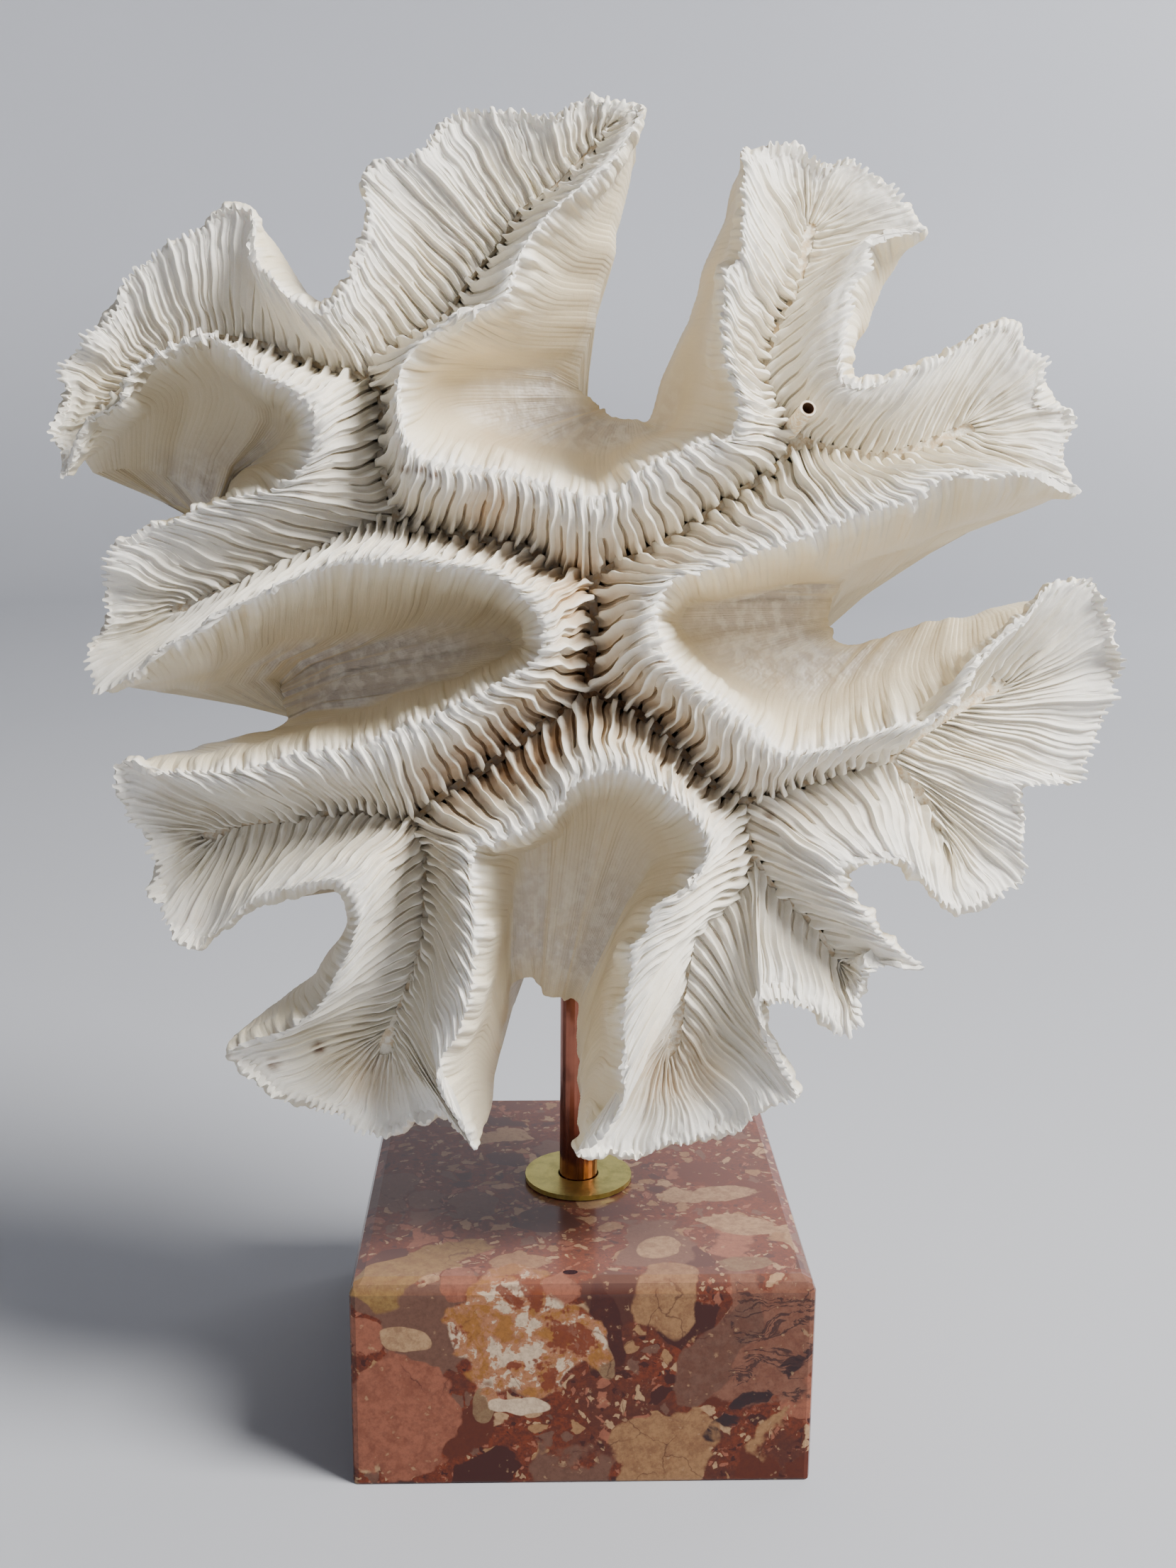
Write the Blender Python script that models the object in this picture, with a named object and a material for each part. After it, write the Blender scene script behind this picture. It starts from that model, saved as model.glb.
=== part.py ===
"""Brain coral skeleton held by a copper rod on a marble block. Units in this file are millimetres
until the meshes are made, which are in metres, +Z up, origin under the middle of the block."""

from math import cos, pi, radians, sin

import bmesh
import bpy
import numpy as np
from mathutils import Matrix, Vector
from mathutils.geometry import tessellate_polygon

MM = 0.001

# Stand
BLOCK_SIDE = 88.0
BLOCK_HEIGHT = 42.4
BLOCK_CHAMFER = 2.6
ROD_DIAMETER = 8.0
ROD_SINK = 24.0
ROD_TOP = 126.0
SOCKET_LOW = 60.0
DISC_DIAMETER = 22.5
DISC_THICKNESS = 1.0
GAP = 0.3
CUTTER_OVERRUN = 3.0
TUBE_MOUTH = (38.5, 65.7, 0.5)
TUBE_END = (35.2, 61.6, 10.0)
TUBE_RADIUS = 1.5
TUBE_BORE = 1.05
TUBE_BORE_DEPTH = 5.0
CRUMB_VOLUME = 8.0
SLIVER_WIDTH = 0.03
FRUSTUM_NEAR = -40.0
FRUSTUM_FAR = 110.0

# Viewing point from which the coral's stations were read, on a plane 300 mm in front of it.
# A station is (across, up, behind): the first two on that plane, the third the depth behind it.
VIEW_POINT = (-9.32, -337.20, 203.64)
VIEW_YAW = radians(1.81)
VIEW_PITCH = radians(12.617)
VIEW_ROLL = radians(0.498)
PLANE_DISTANCE = 300.0

# Coral
CORAL_CENTRE = (0.0, 25.0)
DOME_RISE = -4.0
DOME_CURVE = 0.0021
DOME_LEAN = -0.08
GROOVE_HALF_WIDTH = 0.9
WALL_THICKNESS = 1.2
BASE_CENTRE = (0.0, -6.0)
BASE_RADIUS = 15.0
BASE_DEPTH = 68.0
KEEL_SHARE = 0.4
KEEL_DEPTH_SHARE = 0.62
WAIST_HOLD = 6
BASE_FOLLOW = 0.85
RIDGE_SPACING = 7.6
RIDGE_DEPTH_CENTRE = 2.6
RIDGE_DEPTH_FAN = 1.5
INSIDE_ROWS = (0.0, 0.3, 0.62, 0.88, 1.0)
GAP_SHARES = (0.0, 0.9, 0.6, 0.12, 0.0)
OUTSIDE_KNOTS = (0.0, 0.18, 0.45, 0.68, 0.86, 1.0)
OUTSIDE_ROWS = (0.18, 0.45, 0.68, 0.86, 1.0)
OUTSIDE_STRIDES = (1, 2, 2, 4, 4)


def stretch(name, rim, groove, foot, back, lift, drop, fan):
    """One stretch of the coral's closed rim. rim: stations along the crest. groove: the valley floor that it
    faces. foot and back: the outer wall half way and at its widest, as (across, up, behind). lift: how far
    the rim stands behind the dome, at even steps. drop: how far the groove lies behind the dome. fan: 0 for
    a steep wall, 1 for an open fan."""
    return dict(name=name, rim=rim, groove=groove, foot=foot, back=back, lift=lift, drop=drop, fan=fan)


# Groove lines shared by the two sides of a valley
TOP_MIDDLE = [(1, 35.5), (-5.5, 37.5), (-10, 41), (-14, 42), (-22, 43.5), (-27, 44), (-33.5, 46.5)]
TOP_RIGHT = [(1, 35.5), (4, 38.5), (9, 39.7), (13, 42), (20, 46.5), (27, 51.4), (33, 55.3), (35.7, 58.8)]
MIDDLE = [(0, 16), (0.5, 21), (1, 25), (1.2, 30), (0.5, 32), (1, 35.5)]
LOW_LEFT = [(0, 16), (-7, 11), (-13, 6.5), (-19, 2), (-26, -2.5), (-30.5, -6.5)]
LOW_RIGHT = [(0, 16), (6, 14), (13, 9), (19, 3), (25, -2.5), (27.5, -3)]
UP_LEFT = [(-33.5, 46.5), (-35, 52), (-36.5, 58), (-36, 62), (-36.5, 68.5), (-39.5, 71.5)]
TO_TOP = [(-39.5, 71.5), (-33, 77), (-26, 81), (-20.5, 88.5), (-15, 95), (-12, 100), (-6.5, 104), (3, 114)]
TO_UPPER_LEFT = [
    (-39.5, 71.5), (-44, 72.3), (-51, 74.5), (-59, 77.7), (-67, 78.3), (-74, 75.5), (-82, 69), (-88, 60),
]
TO_LEFT = [(-33.5, 46.5), (-40, 45), (-46.5, 41.3), (-54, 38.5), (-58, 36.3), (-66, 33), (-71.5, 31)]
TO_LOWER_LEFT = [(-30.5, -6.5), (-35, -5.5), (-45, -5), (-50, -6), (-60, -7), (-66.5, -8.5)]
TO_BOTTOM_LEFT = [(-30.5, -6.5), (-28.5, -11), (-28.5, -24), (-31, -34), (-33.5, -40), (-36, -46)]
TO_BRANCH = [(27.5, -3), (27, -7), (29, -12.5)]
TO_BOTTOM_RIGHT = [(29, -12.5), (28, -17), (23, -22), (19.5, -25), (17.5, -33), (15, -41), (14.5, -46)]
TO_LOW_SPUR = [(29, -12.5), (31.5, -17), (35.5, -21), (39, -24), (43, -30)]
TO_RIGHT = [(27.5, -3), (36, -0.5), (45, 2.5), (52, 4.5)]
TO_RIGHT_SPUR = [(52, 4.5), (56, 0), (59, -4), (62.5, -9)]
TO_RIGHT_FAN = [(52, 4.5), (58, 9), (62, 11.5), (66, 14), (72.5, 18)]
TO_UPPER_RIGHT = [(35.7, 58.8), (45, 57.5), (51, 56.4), (58, 58.3), (64, 60.5), (67, 62)]
TO_TOP_RIGHT = [(35.7, 58.8), (32, 68), (31, 72), (33, 79.5), (36.5, 86.7), (39, 94)]


def back_along(line):
    return line[::-1]


# The saw line across the necks of the lobes, from one open gap to the next, turning counter-clockwise
SAW_LINE = [
    (4, 67.3), (-25, 77), (-47, 84.8), (-53, 61), (-67, 49.6), (-62, 30), (-56, 14.8), (-48, -4),
    (-44, -20.5),
    (-28, -28), (-13, -36.5), (-8, -39.5), (-2.2, -38.6), (14, -34), (31, -40), (38, -25), (48.5, -16),
    (46, 8),
    (46.8, 30.5), (45, 52), (48, 73.2), (28, 66),
]

# Each lobe beyond a main fork, and a station near its middle by which it is known
LOBES = {
    "coral_lobe_top_left": (-18, 95),
    "coral_lobe_upper_left": (-72, 75),
    "coral_lobe_left": (-73, 30),
    "coral_lobe_lower_left": (-65, -8),
    "coral_lobe_bottom_left": (-35, -45),
    "coral_lobe_bottom_right": (15, -50),
    "coral_spur_low_right": (44, -32),
    "coral_lobe_right": (68, 8),
    "coral_lobe_upper_right": (66, 60),
    "coral_lobe_top_right": (36, 90),
}


STRETCHES = [
    stretch(
        "top_left_fan",
        [(9, 118), (5, 119), (0, 120), (-5, 117.5), (-11, 116.5), (-17, 117.5), (-24, 115.5), (-27, 111.5),
         (-32, 110), (-37, 109), (-39.5, 106.5)],
        back_along(TO_TOP)[:5],
        [(8.5, 113, 14), (-4, 111, 19), (-18, 109, 22), (-30, 104, 22), (-35, 99, 22)],
        [(8.3, 109, 22), (-2, 103, 31), (-14, 99, 34), (-26, 93, 35), (-32, 90, 35)],
        (-1, 3, 5, 5), (4, 8, 10), 0.8,
    ),
    stretch(
        "top_left_side",
        [(-39.5, 106.5), (-38.5, 101), (-39.5, 96), (-40.5, 92), (-42, 88), (-44, 86), (-46, 84),
         (-47.7, 83.5)],
        back_along(TO_TOP)[4:],
        [(-35, 99, 22), (-36, 92, 24), (-39, 86, 25), (-43, 82, 25)],
        [(-32, 90, 35), (-34, 84, 37), (-37, 78, 38), (-40, 76, 38)],
        (5, 3, 2, 1), (10, 12, 12), 0.5,
    ),
    stretch(
        "upper_left_inner_side",
        [(-47.7, 83.5), (-49.5, 84), (-53, 85.5), (-55, 88), (-58, 91), (-59, 95), (-58.5, 99)],
        TO_UPPER_LEFT[:4],
        [(-43, 82, 25), (-47, 84, 24), (-51, 88.3, 22), (-57, 97, 21)],
        [(-40, 76, 38), (-43, 77, 37), (-47, 80, 35), (-51, 84, 33)],
        (1, 3, 5), (12, 12, 12), 0.6,
    ),
    stretch(
        "upper_left_fan",
        [(-58.5, 99), (-60.5, 100.5), (-63.5, 100), (-67, 97.5), (-70, 95), (-74, 93.5), (-77, 90),
         (-80, 87),
         (-83.5, 83), (-86, 79), (-88, 75.5), (-91.5, 73), (-91.5, 69), (-92, 65), (-93.4, 61.5),
         (-91.5, 58),
         (-91.5, 54)],
        TO_UPPER_LEFT[3:],
        [(-57, 97, 21), (-66, 95, 26), (-76, 86, 28), (-83, 76, 28), (-87, 66, 26), (-88.5, 57, 20)],
        [(-51, 84, 33), (-58, 85, 38), (-66, 80, 40), (-72, 72, 40), (-77, 64, 37), (-86.5, 54.5, 27)],
        (5, 7, 7, 6, 0), (12, 13, 12, 5), 0.9,
    ),
    stretch(
        "upper_left_front_crest",
        [(-91.5, 54), (-90.4, 57), (-89.5, 60), (-88, 63), (-84, 65), (-81.5, 67), (-81, 69.5),
         (-80, 72), (-77, 74),
         (-74, 76), (-70, 77.5), (-67, 78.5), (-64, 77), (-61.5, 75)],
        back_along(TO_UPPER_LEFT)[:5],
        [(-88.5, 57, 20), (-83, 60, 21), (-77, 64, 24), (-70, 67, 28), (-63, 67, 30), (-58, 64, 31)],
        [(-86.5, 54.5, 27), (-82, 55, 30), (-77, 55, 34), (-72, 53, 37), (-68, 51, 38), (-65, 49.6, 38.5)],
        (0, -4, -6, -5, -3), (5, 9, 12), 0.1,
    ),
    stretch(
        "left_hollow_end",
        [(-61.5, 75), (-59, 72.5), (-56, 70.5), (-52.5, 68.7), (-50, 66.3), (-48.5, 63.5), (-48, 60.5),
         (-48.5, 58), (-50.3, 55), (-51.7, 53.6), (-55, 51.2)],
        back_along(TO_UPPER_LEFT)[4:] + back_along(UP_LEFT)[1:5],
        [(-58, 64, 31), (-55.5, 63, 32), (-54, 60, 33), (-56, 57, 33), (-59, 55, 33)],
        [(-65, 49.6, 38.5), (-64.6, 49.4, 39), (-64, 49, 39.5), (-63.3, 48.6, 40)],
        (-3, -2, 0, 1), (12, 13, 13), 0.0,
    ),
    stretch(
        "left_upper_crest",
        [(-55, 51.2), (-60, 50.6), (-64, 49.4), (-68, 48), (-72, 46.2), (-77, 44.5), (-80, 42.8), (-83, 41)],
        back_along(UP_LEFT)[4:] + TO_LEFT[1:6],
        [(-59, 55, 33), (-62, 50, 32), (-68, 46.4, 27), (-74, 43, 23), (-80, 40, 19)],
        [(-63.3, 48.6, 40), (-65, 44, 39), (-68, 40, 37), (-73, 37, 34)],
        (1, 1, 1, 0), (13, 12, 10), 0.3,
    ),
    stretch(
        "left_fan",
        [(-83, 41), (-83.5, 35), (-83, 31), (-83.5, 28.5), (-86.3, 24.7), (-87, 22.6), (-84.6, 20),
         (-85, 16.4)],
        [(-66, 33), (-70.5, 31.7), (-73, 30.6), (-71.5, 29.8), (-67, 31.8)],
        [(-80, 40, 19), (-80, 34, 22), (-79.5, 28, 23), (-81, 22, 22), (-82, 17, 18)],
        [(-73, 37, 34), (-70, 33, 38), (-69, 28, 39), (-72, 22, 36), (-77, 16.6, 30)],
        (0, 3, 3, -1), (10, 9, 10), 0.9,
    ),
    stretch(
        "left_lower_crest",
        [(-85, 16.4), (-81.5, 18.1), (-78.2, 20.2), (-76.3, 22.4), (-72.3, 24.8), (-68.3, 26.6), (-66, 29),
         (-62, 30.9), (-58.3, 32.3), (-55, 34.3), (-51, 35.7), (-47.5, 37.2), (-43, 38.5), (-38, 38.6)],
        back_along(TO_LEFT)[1:],
        [(-82, 17, 18), (-76, 18, 23), (-68, 20, 27), (-60, 23, 31), (-50, 25.5, 34), (-40, 26.5, 35)],
        [(-77, 16.6, 30), (-69, 16.4, 34), (-61, 17.4, 37), (-55, 18.3, 39), (-53.7, 17.6, 41)],
        (-1, -2, -2, -1), (10, 12, 13), 0.2,
    ),
    stretch(
        "centre_left_upper_crest",
        [(-38, 38.6), (-32, 38.7), (-26, 38), (-20, 37.2), (-15, 35.3), (-12, 33), (-9.6, 30.1)],
        back_along(TOP_MIDDLE),
        [(-40, 26.5, 35), (-30, 27.5, 35), (-20, 27.5, 34), (-14.5, 25.8, 34)],
        [(-53.7, 17.6, 41), (-53.6, 16.8, 41.5), (-53.5, 16, 41.5)],
        (-1, 0, 0), (13, 14, 14), 0.0,
    ),
    stretch(
        "centre_left_end",
        [(-9.6, 30.1), (-8.4, 27.2), (-8.4, 24), (-9.8, 21.3), (-12.7, 19.5)],
        back_along(MIDDLE),
        [(-14.5, 25.8, 34), (-13.3, 24.5, 34), (-14.5, 22.8, 34)],
        [(-53.5, 16, 41.5), (-53.3, 15.2, 41.5), (-53.1, 14.4, 41.5)],
        (0, 0, 0), (14, 14, 14), 0.0,
    ),
    stretch(
        "centre_left_lower_crest",
        [(-12.7, 19.5), (-17, 17), (-21, 15), (-25, 13), (-29, 11), (-33, 10), (-36, 8.5)],
        LOW_LEFT,
        [(-14.5, 22.8, 34), (-20, 20, 34), (-28, 17, 35), (-36, 14.5, 36)],
        [(-53.1, 14.4, 41.5), (-52.8, 13.4, 41.3), (-52.4, 12.2, 41), (-52, 11.2, 40.5)],
        (0, 0, 0), (14, 14, 14), 0.0,
    ),
    stretch(
        "lower_left_upper_crest",
        [(-36, 8.5), (-40, 6.8), (-46, 6), (-52, 5), (-57, 3.5), (-62, 2.2), (-68, 2), (-75, 1.8),
         (-80, 3.2)],
        TO_LOWER_LEFT[:5],
        [(-36, 14.5, 36), (-46, 11, 33), (-56, 8.2, 28), (-66, 5.8, 23), (-77, 4, 18)],
        [(-52, 11.2, 40.5), (-55, 9.4, 38), (-62, 7.9, 36), (-69, 6, 33), (-75, 4.2, 28)],
        (0, -1, -2, -2), (14, 13, 10), 0.1,
    ),
    stretch(
        "lower_left_fan",
        [(-80, 3.2), (-81.7, 0.2), (-81.4, -2.1), (-80.3, -5), (-78.3, -7.6), (-76.5, -9), (-75.1, -12.5),
         (-75.4, -16.5), (-74.2, -21.2), (-73.4, -24), (-71.3, -26.4), (-69, -27.6)],
        [(-60, -7), (-64, -8), (-67.5, -8.8), (-66, -9.8), (-60, -8.6)],
        [(-77, 4, 18), (-77, -1, 22), (-73, -8, 26), (-71, -16, 26), (-67, -25, 23)],
        [(-75, 4.2, 28), (-68, 0, 37), (-62, -6, 40), (-59, -13, 40), (-58, -20, 36)],
        (-2, 2, 3, 1), (10, 9, 10), 0.9,
    ),
    stretch(
        "lower_left_lower_crest",
        [(-69, -27.6), (-66.2, -26.4), (-62.7, -24), (-59.2, -20.6), (-55, -19), (-52, -18.4),
         (-48.8, -17.5),
         (-46, -17.2), (-43.2, -17.9)],
        back_along(TO_LOWER_LEFT)[1:],
        [(-67, -25, 23), (-61, -22.5, 26), (-53, -19.5, 28), (-46, -17.2, 29), (-42.5, -18, 29)],
        [(-58, -20, 36), (-53, -17.5, 39), (-47, -15.5, 41), (-41, -15, 41)],
        (1, 1, 1, 0), (10, 12, 13), 0.5,
    ),
    stretch(
        "bottom_left_outer_side",
        [(-43.2, -17.9), (-41.4, -20.3), (-40.5, -23.5), (-41.7, -28.6), (-43.6, -32.6), (-45.5, -37),
         (-50.6, -42), (-56, -44.6), (-62.4, -46.5)],
        TO_BOTTOM_LEFT[:5],
        [(-42.5, -18, 29), (-41.5, -23.5, 29), (-45, -29.6, 28), (-51.5, -36.5, 27), (-59.5, -43.5, 25)],
        [(-41, -15, 41), (-37.5, -19, 43), (-38, -26, 42), (-42, -31, 40), (-47, -37, 37)],
        (0, 0, -1, -1, 0), (13, 13, 10), 0.4,
    ),
    stretch(
        "bottom_left_fan",
        [(-62.4, -46.5), (-58.7, -50.5), (-54.6, -53.8), (-47.3, -56.5), (-41.2, -58.2), (-37.2, -61.2),
         (-32.5, -60.2), (-30.5, -58.3), (-24.7, -58.2), (-22.6, -60.3), (-19.8, -64.2)],
        [(-33.5, -40), (-36, -44.5), (-36.5, -47), (-34.8, -47), (-32.6, -41)],
        [(-59.5, -43.5, 25), (-54, -50, 28), (-44, -54, 31), (-34, -56, 32), (-25, -55.5, 31),
         (-18.5, -60.5, 27)],
        [(-47, -37, 37), (-43, -42, 42), (-36, -45, 44), (-28, -47, 44), (-21, -51, 41), (-17.2, -57, 34)],
        (0, 3, 3, 2, -1), (10, 9, 10), 0.9,
    ),
    stretch(
        "bottom_left_inner_side",
        [(-19.8, -64.2), (-22.5, -59), (-25, -55), (-26.3, -51), (-25.6, -48), (-22.8, -43.5), (-20.8, -38),
         (-19.9, -31), (-19.6, -25), (-19.9, -18.5), (-19.8, -11.6)],
        back_along(TO_BOTTOM_LEFT)[1:],
        [(-18.5, -60.5, 27), (-19.5, -51, 27), (-17.5, -41, 29), (-15.5, -30, 31), (-14, -20, 33),
         (-12, -13, 33)],
        [(-17.2, -57, 34), (-16.2, -50, 37), (-14.5, -42, 39), (-13, -34.5, 40), (-11.5, -34, 40),
         (-10, -33.8, 40)],
        (-1, -3, -4, -3, -1), (10, 13, 14), 0.1,
    ),
    stretch(
        "bottom_hollow_left_crest",
        [(-19.8, -11.6), (-16, -10.3), (-10, -7.4), (-5.5, -4.4), (-3, -0.8), (1.2, 1.6)],
        back_along(LOW_LEFT),
        [(-12, -13, 33), (-8, -11, 33), (-3, -8, 32), (1, -7, 32)],
        [(-10, -33.8, 40), (-8.5, -35.5, 40), (-7, -37, 40), (-5, -37.5, 40)],
        (-1, 0, 0), (14, 14, 14), 0.0,
    ),
    stretch(
        "bottom_hollow_right_crest",
        [(1.2, 1.6), (4.7, 2.2), (9.4, 0.7), (13.6, -2), (17.2, -5), (20.1, -9), (20.7, -12)],
        LOW_RIGHT,
        [(1, -7, 32), (4, -8, 32), (8, -11, 33), (11, -14, 33)],
        [(-5, -37.5, 40), (-3.8, -37.6, 40), (-2.8, -37.7, 40), (-2, -38, 40)],
        (0, 0, 0), (14, 14, 14), 0.0,
    ),
    stretch(
        "bottom_right_inner_side",
        [(20.7, -12), (19.5, -15), (17.2, -18.5), (11.8, -21.5), (10, -26.3), (7.7, -28.6), (7.1, -33.3),
         (6.2, -39.3), (6.5, -46.4), (5.9, -56), (-1.5, -65)],
        TO_BRANCH + TO_BOTTOM_RIGHT[1:6],
        [(11, -14, 33), (8, -20, 33), (4.5, -28, 32), (2.5, -37, 30), (1.5, -48, 28), (0, -57, 26),
         (-1.2, -62, 24)],
        [(-2, -38, 40), (-1.9, -42, 40), (-1.8, -48, 39), (-1.8, -54, 36), (-1.6, -60, 31)],
        (0, -2, -4, -4, -1), (13, 12, 9), 0.2,
    ),
    stretch(
        "bottom_right_fan",
        [(-1.5, -65), (1.4, -64.4), (9.6, -64.1), (13.7, -63.3), (17.8, -62.3), (24.7, -60.3), (30.1, -56.9),
         (32.2, -55.5), (36.4, -54.8)],
        [(15, -41), (13.8, -45), (14.3, -47.5), (15.6, -46), (16.2, -41)],
        [(-1.2, -62, 24), (6, -61, 29), (15, -59.5, 31), (24, -56.5, 31), (31, -52.5, 29), (34.5, -51, 26)],
        [(-1.6, -60, 31), (4, -55, 40), (12, -50, 44), (20, -47, 44), (26, -43.5, 40)],
        (-1, 3, 3, 2, 0), (9, 9, 9), 0.9,
    ),
    stretch(
        "bottom_right_outer_side",
        [(36.4, -54.8), (33.7, -49), (31.3, -43.5), (29.6, -39.5), (29.5, -36.9)],
        back_along(TO_BOTTOM_RIGHT)[2:],
        [(34.5, -51, 26), (32, -45, 28), (30.3, -39.5, 29), (29.8, -36, 29)],
        [(26, -43.5, 40), (26.5, -38, 41), (27, -33, 41), (27.5, -29, 41)],
        (0, 0, 0), (9, 11, 12), 0.6,
    ),
    stretch(
        "low_spur_lower_side",
        [(29.5, -36.9), (31.4, -36.2), (34.6, -35.9), (36.8, -37.1), (39.5, -39.2), (41.9, -41.3),
         (44.4, -43.3)],
        TO_LOW_SPUR,
        [(29.8, -36, 29), (34, -35, 28), (38.5, -36.5, 27), (43, -41, 24)],
        [(27.5, -29, 41), (30.5, -28.5, 41), (33.5, -29, 40), (36.5, -31, 38)],
        (0, 0, 0), (12, 11, 8), 0.7,
    ),
    stretch(
        "low_spur_edge",
        [(44.4, -43.3), (46.2, -42.2), (47.1, -37.4), (49, -33.7), (49.6, -30.5), (52.6, -30.7),
         (56.9, -31.3)],
        [(43, -30), (43.8, -31.2), (44, -30)],
        [(43, -41, 24), (45, -36, 26), (47, -31, 26), (53, -30, 24)],
        [(36.5, -31, 38), (38, -28.5, 39), (40, -26.5, 39), (42.5, -25.5, 38)],
        (0, 2, 2, 0), (8, 8, 8), 0.9,
    ),
    stretch(
        "low_spur_upper_side",
        [(56.9, -31.3), (53, -28), (50, -24.5), (47, -20.5), (44.4, -17.3), (44.8, -15)],
        back_along(TO_LOW_SPUR)[:4] + back_along(TO_BRANCH),
        [(53, -30, 24), (49, -25.5, 26), (45.5, -19.8, 28), (44.5, -15.3, 29)],
        [(42.5, -25.5, 38), (42, -21, 39), (41.5, -16, 40), (41.5, -12, 40)],
        (0, -1, -1, 0), (8, 11, 12), 0.4,
    ),
    stretch(
        "right_spur_lower_side",
        [(44.8, -15), (46.5, -13.9), (49, -12.7), (52, -12.7), (55.6, -13.9), (58.1, -16.1), (60.5, -19.1),
         (64.4, -22)],
        TO_RIGHT + TO_RIGHT_SPUR[1:],
        [(44.5, -15.3, 29), (48.5, -12.6, 28), (55, -13.3, 27), (60.3, -17.5, 25), (63.5, -20.5, 23)],
        [(41.5, -12, 40), (45, -10, 40), (50, -9, 39), (54, -11.5, 36)],
        (0, 0, 0), (12, 12, 9), 0.6,
    ),
    stretch(
        "right_spur_edge",
        [(64.4, -22), (69, -21.2), (72.7, -18.2), (75.7, -13.6), (75.4, -7.5), (74.5, -3.3), (75.2, -0.2),
         (78.8, 0.1)],
        [(62.5, -9), (61.5, -7.3), (57.2, 0.6), (53.6, 4.2), (58, 8)],
        [(63.5, -20.5, 23), (69, -16, 25), (72, -9, 26), (71.5, -2, 26), (75.5, 1.5, 25)],
        [(54, -11.5, 36), (59, -7, 39), (61.5, -2, 40), (64, 2.5, 40)],
        (0, 2, 3, 3), (9, 10, 11), 0.9,
    ),
    stretch(
        "right_fan",
        [(78.8, 0.1), (85, 0.7), (87.7, 5.5), (90.5, 13.8), (91.4, 21.9), (90.5, 28.8), (87, 35)],
        [(58, 8), (62, 10.7), (66, 13.2), (73, 17.6), (71, 18.4)],
        [(75.5, 1.5, 25), (81, 4.5, 24), (85, 13, 24), (86, 22, 23), (84.5, 32.5, 19)],
        [(64, 2.5, 40), (69, 7, 39), (72, 14, 38), (74, 22, 36), (79, 32.5, 28)],
        (3, 4, 3, -1), (11, 10, 10), 0.9,
    ),
    stretch(
        "right_upper_crest",
        [(87, 35), (82.2, 35.4), (76.5, 28.9), (71.9, 25.2), (69, 22.3), (66.2, 17.1), (63.3, 13.6),
         (59, 11),
         (55.2, 10.8), (50, 9), (44.8, 7.3), (40.2, 6.4), (36.2, 5.9), (33, 6.7), (29.8, 9.6)],
        [(71, 18.4), (66, 15.2), (62, 12.7), (58, 10)] + back_along(TO_RIGHT),
        [(84.5, 32.5, 19), (77, 29.5, 22), (67, 25, 27), (57, 21, 31), (48, 18, 34), (38, 15, 35),
         (32, 16, 35)],
        [(79, 32.5, 28), (71, 31, 32), (62.7, 29, 35), (55, 27, 37), (50, 25.2, 39), (46, 24.6, 40),
         (43.2, 25.4, 40.5)],
        (-1, -3, -3, -1, 0), (10, 12, 13), 0.1,
    ),
    stretch(
        "centre_right_lower_crest",
        [(29.8, 9.6), (25.8, 12.8), (22.3, 15.4), (18.3, 18.3), (14.8, 21.7), (12.8, 25.2)],
        back_along(LOW_RIGHT),
        [(32, 16, 35), (26, 19.5, 35), (20, 23.5, 34), (17, 27, 34)],
        [(43.2, 25.4, 40.5), (42.5, 27, 41), (42, 29, 41)],
        (0, 0, 0), (13, 14, 14), 0.0,
    ),
    stretch(
        "centre_right_end",
        [(12.8, 25.2), (11.9, 29.2), (13.1, 32.7), (15.4, 35.6)],
        MIDDLE,
        [(17, 27, 34), (16.5, 29.3, 34), (18, 31.3, 34)],
        [(42, 29, 41), (42.1, 30, 41), (42.4, 31, 41)],
        (0, 0, 0), (14, 14, 14), 0.0,
    ),
    stretch(
        "upper_right_lower_crest_inner",
        [(15.4, 35.6), (20, 37), (25, 38.6), (30.4, 40.8), (37, 42.5), (44, 45.5)],
        TOP_RIGHT,
        [(18, 31.3, 34), (26, 33, 35), (34, 34.8, 35), (43, 37.4, 33)],
        [(42.4, 31, 41), (43, 32.5, 41), (44, 34.5, 40.5), (45.5, 36.5, 40)],
        (0, 0, -1), (14, 14, 13), 0.0,
    ),
    stretch(
        "upper_right_lower_crest",
        [(44, 45.5), (50, 47.5), (56.7, 49.6), (60.8, 52.6), (65.5, 54.7), (70, 53.2), (75, 54.3),
         (80.3, 53.3),
         (85.3, 50.9)],
        TO_UPPER_RIGHT[:5],
        [(43, 37.4, 33), (53, 41, 29), (64, 45, 25), (74, 48.5, 21), (82.5, 50.5, 17)],
        [(45.5, 36.5, 40), (49, 38.7, 38), (56.4, 41.6, 36), (64, 44.4, 33), (72, 47, 30), (78.5, 48.8, 26)],
        (-1, -3, -3, -1), (13, 12, 9), 0.2,
    ),
    stretch(
        "upper_right_fan",
        [(85.3, 50.9), (83, 55), (82.6, 58), (84, 61), (84.3, 65.1), (81.6, 66), (79.6, 70), (79.6, 73.8),
         (76.3, 75.5), (74.2, 81.5)],
        [(64, 60.5), (67.5, 62), (66.5, 63), (63, 61.5)],
        [(82.5, 50.5, 17), (80, 58, 21), (79.5, 64, 22), (76, 71, 22), (72.5, 78, 19)],
        [(78.5, 48.8, 26), (71, 55, 33), (68, 61, 35), (66, 67, 35), (64, 72.5, 31)],
        (-1, 2, 3, 1), (9, 8, 9), 0.9,
    ),
    stretch(
        "upper_right_upper_side",
        [(74.2, 81.5), (70.5, 80.2), (68, 78.5), (64, 76), (60.5, 74), (55.4, 71.8), (51, 70.5),
         (47.5, 69.8)],
        [(63, 61.5), (58, 59.4), (51, 57.6), (45, 58.5), (38, 60.2)],
        [(72.5, 78, 19), (65, 73.5, 23), (57, 70.5, 25), (48, 68.8, 26)],
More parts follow.
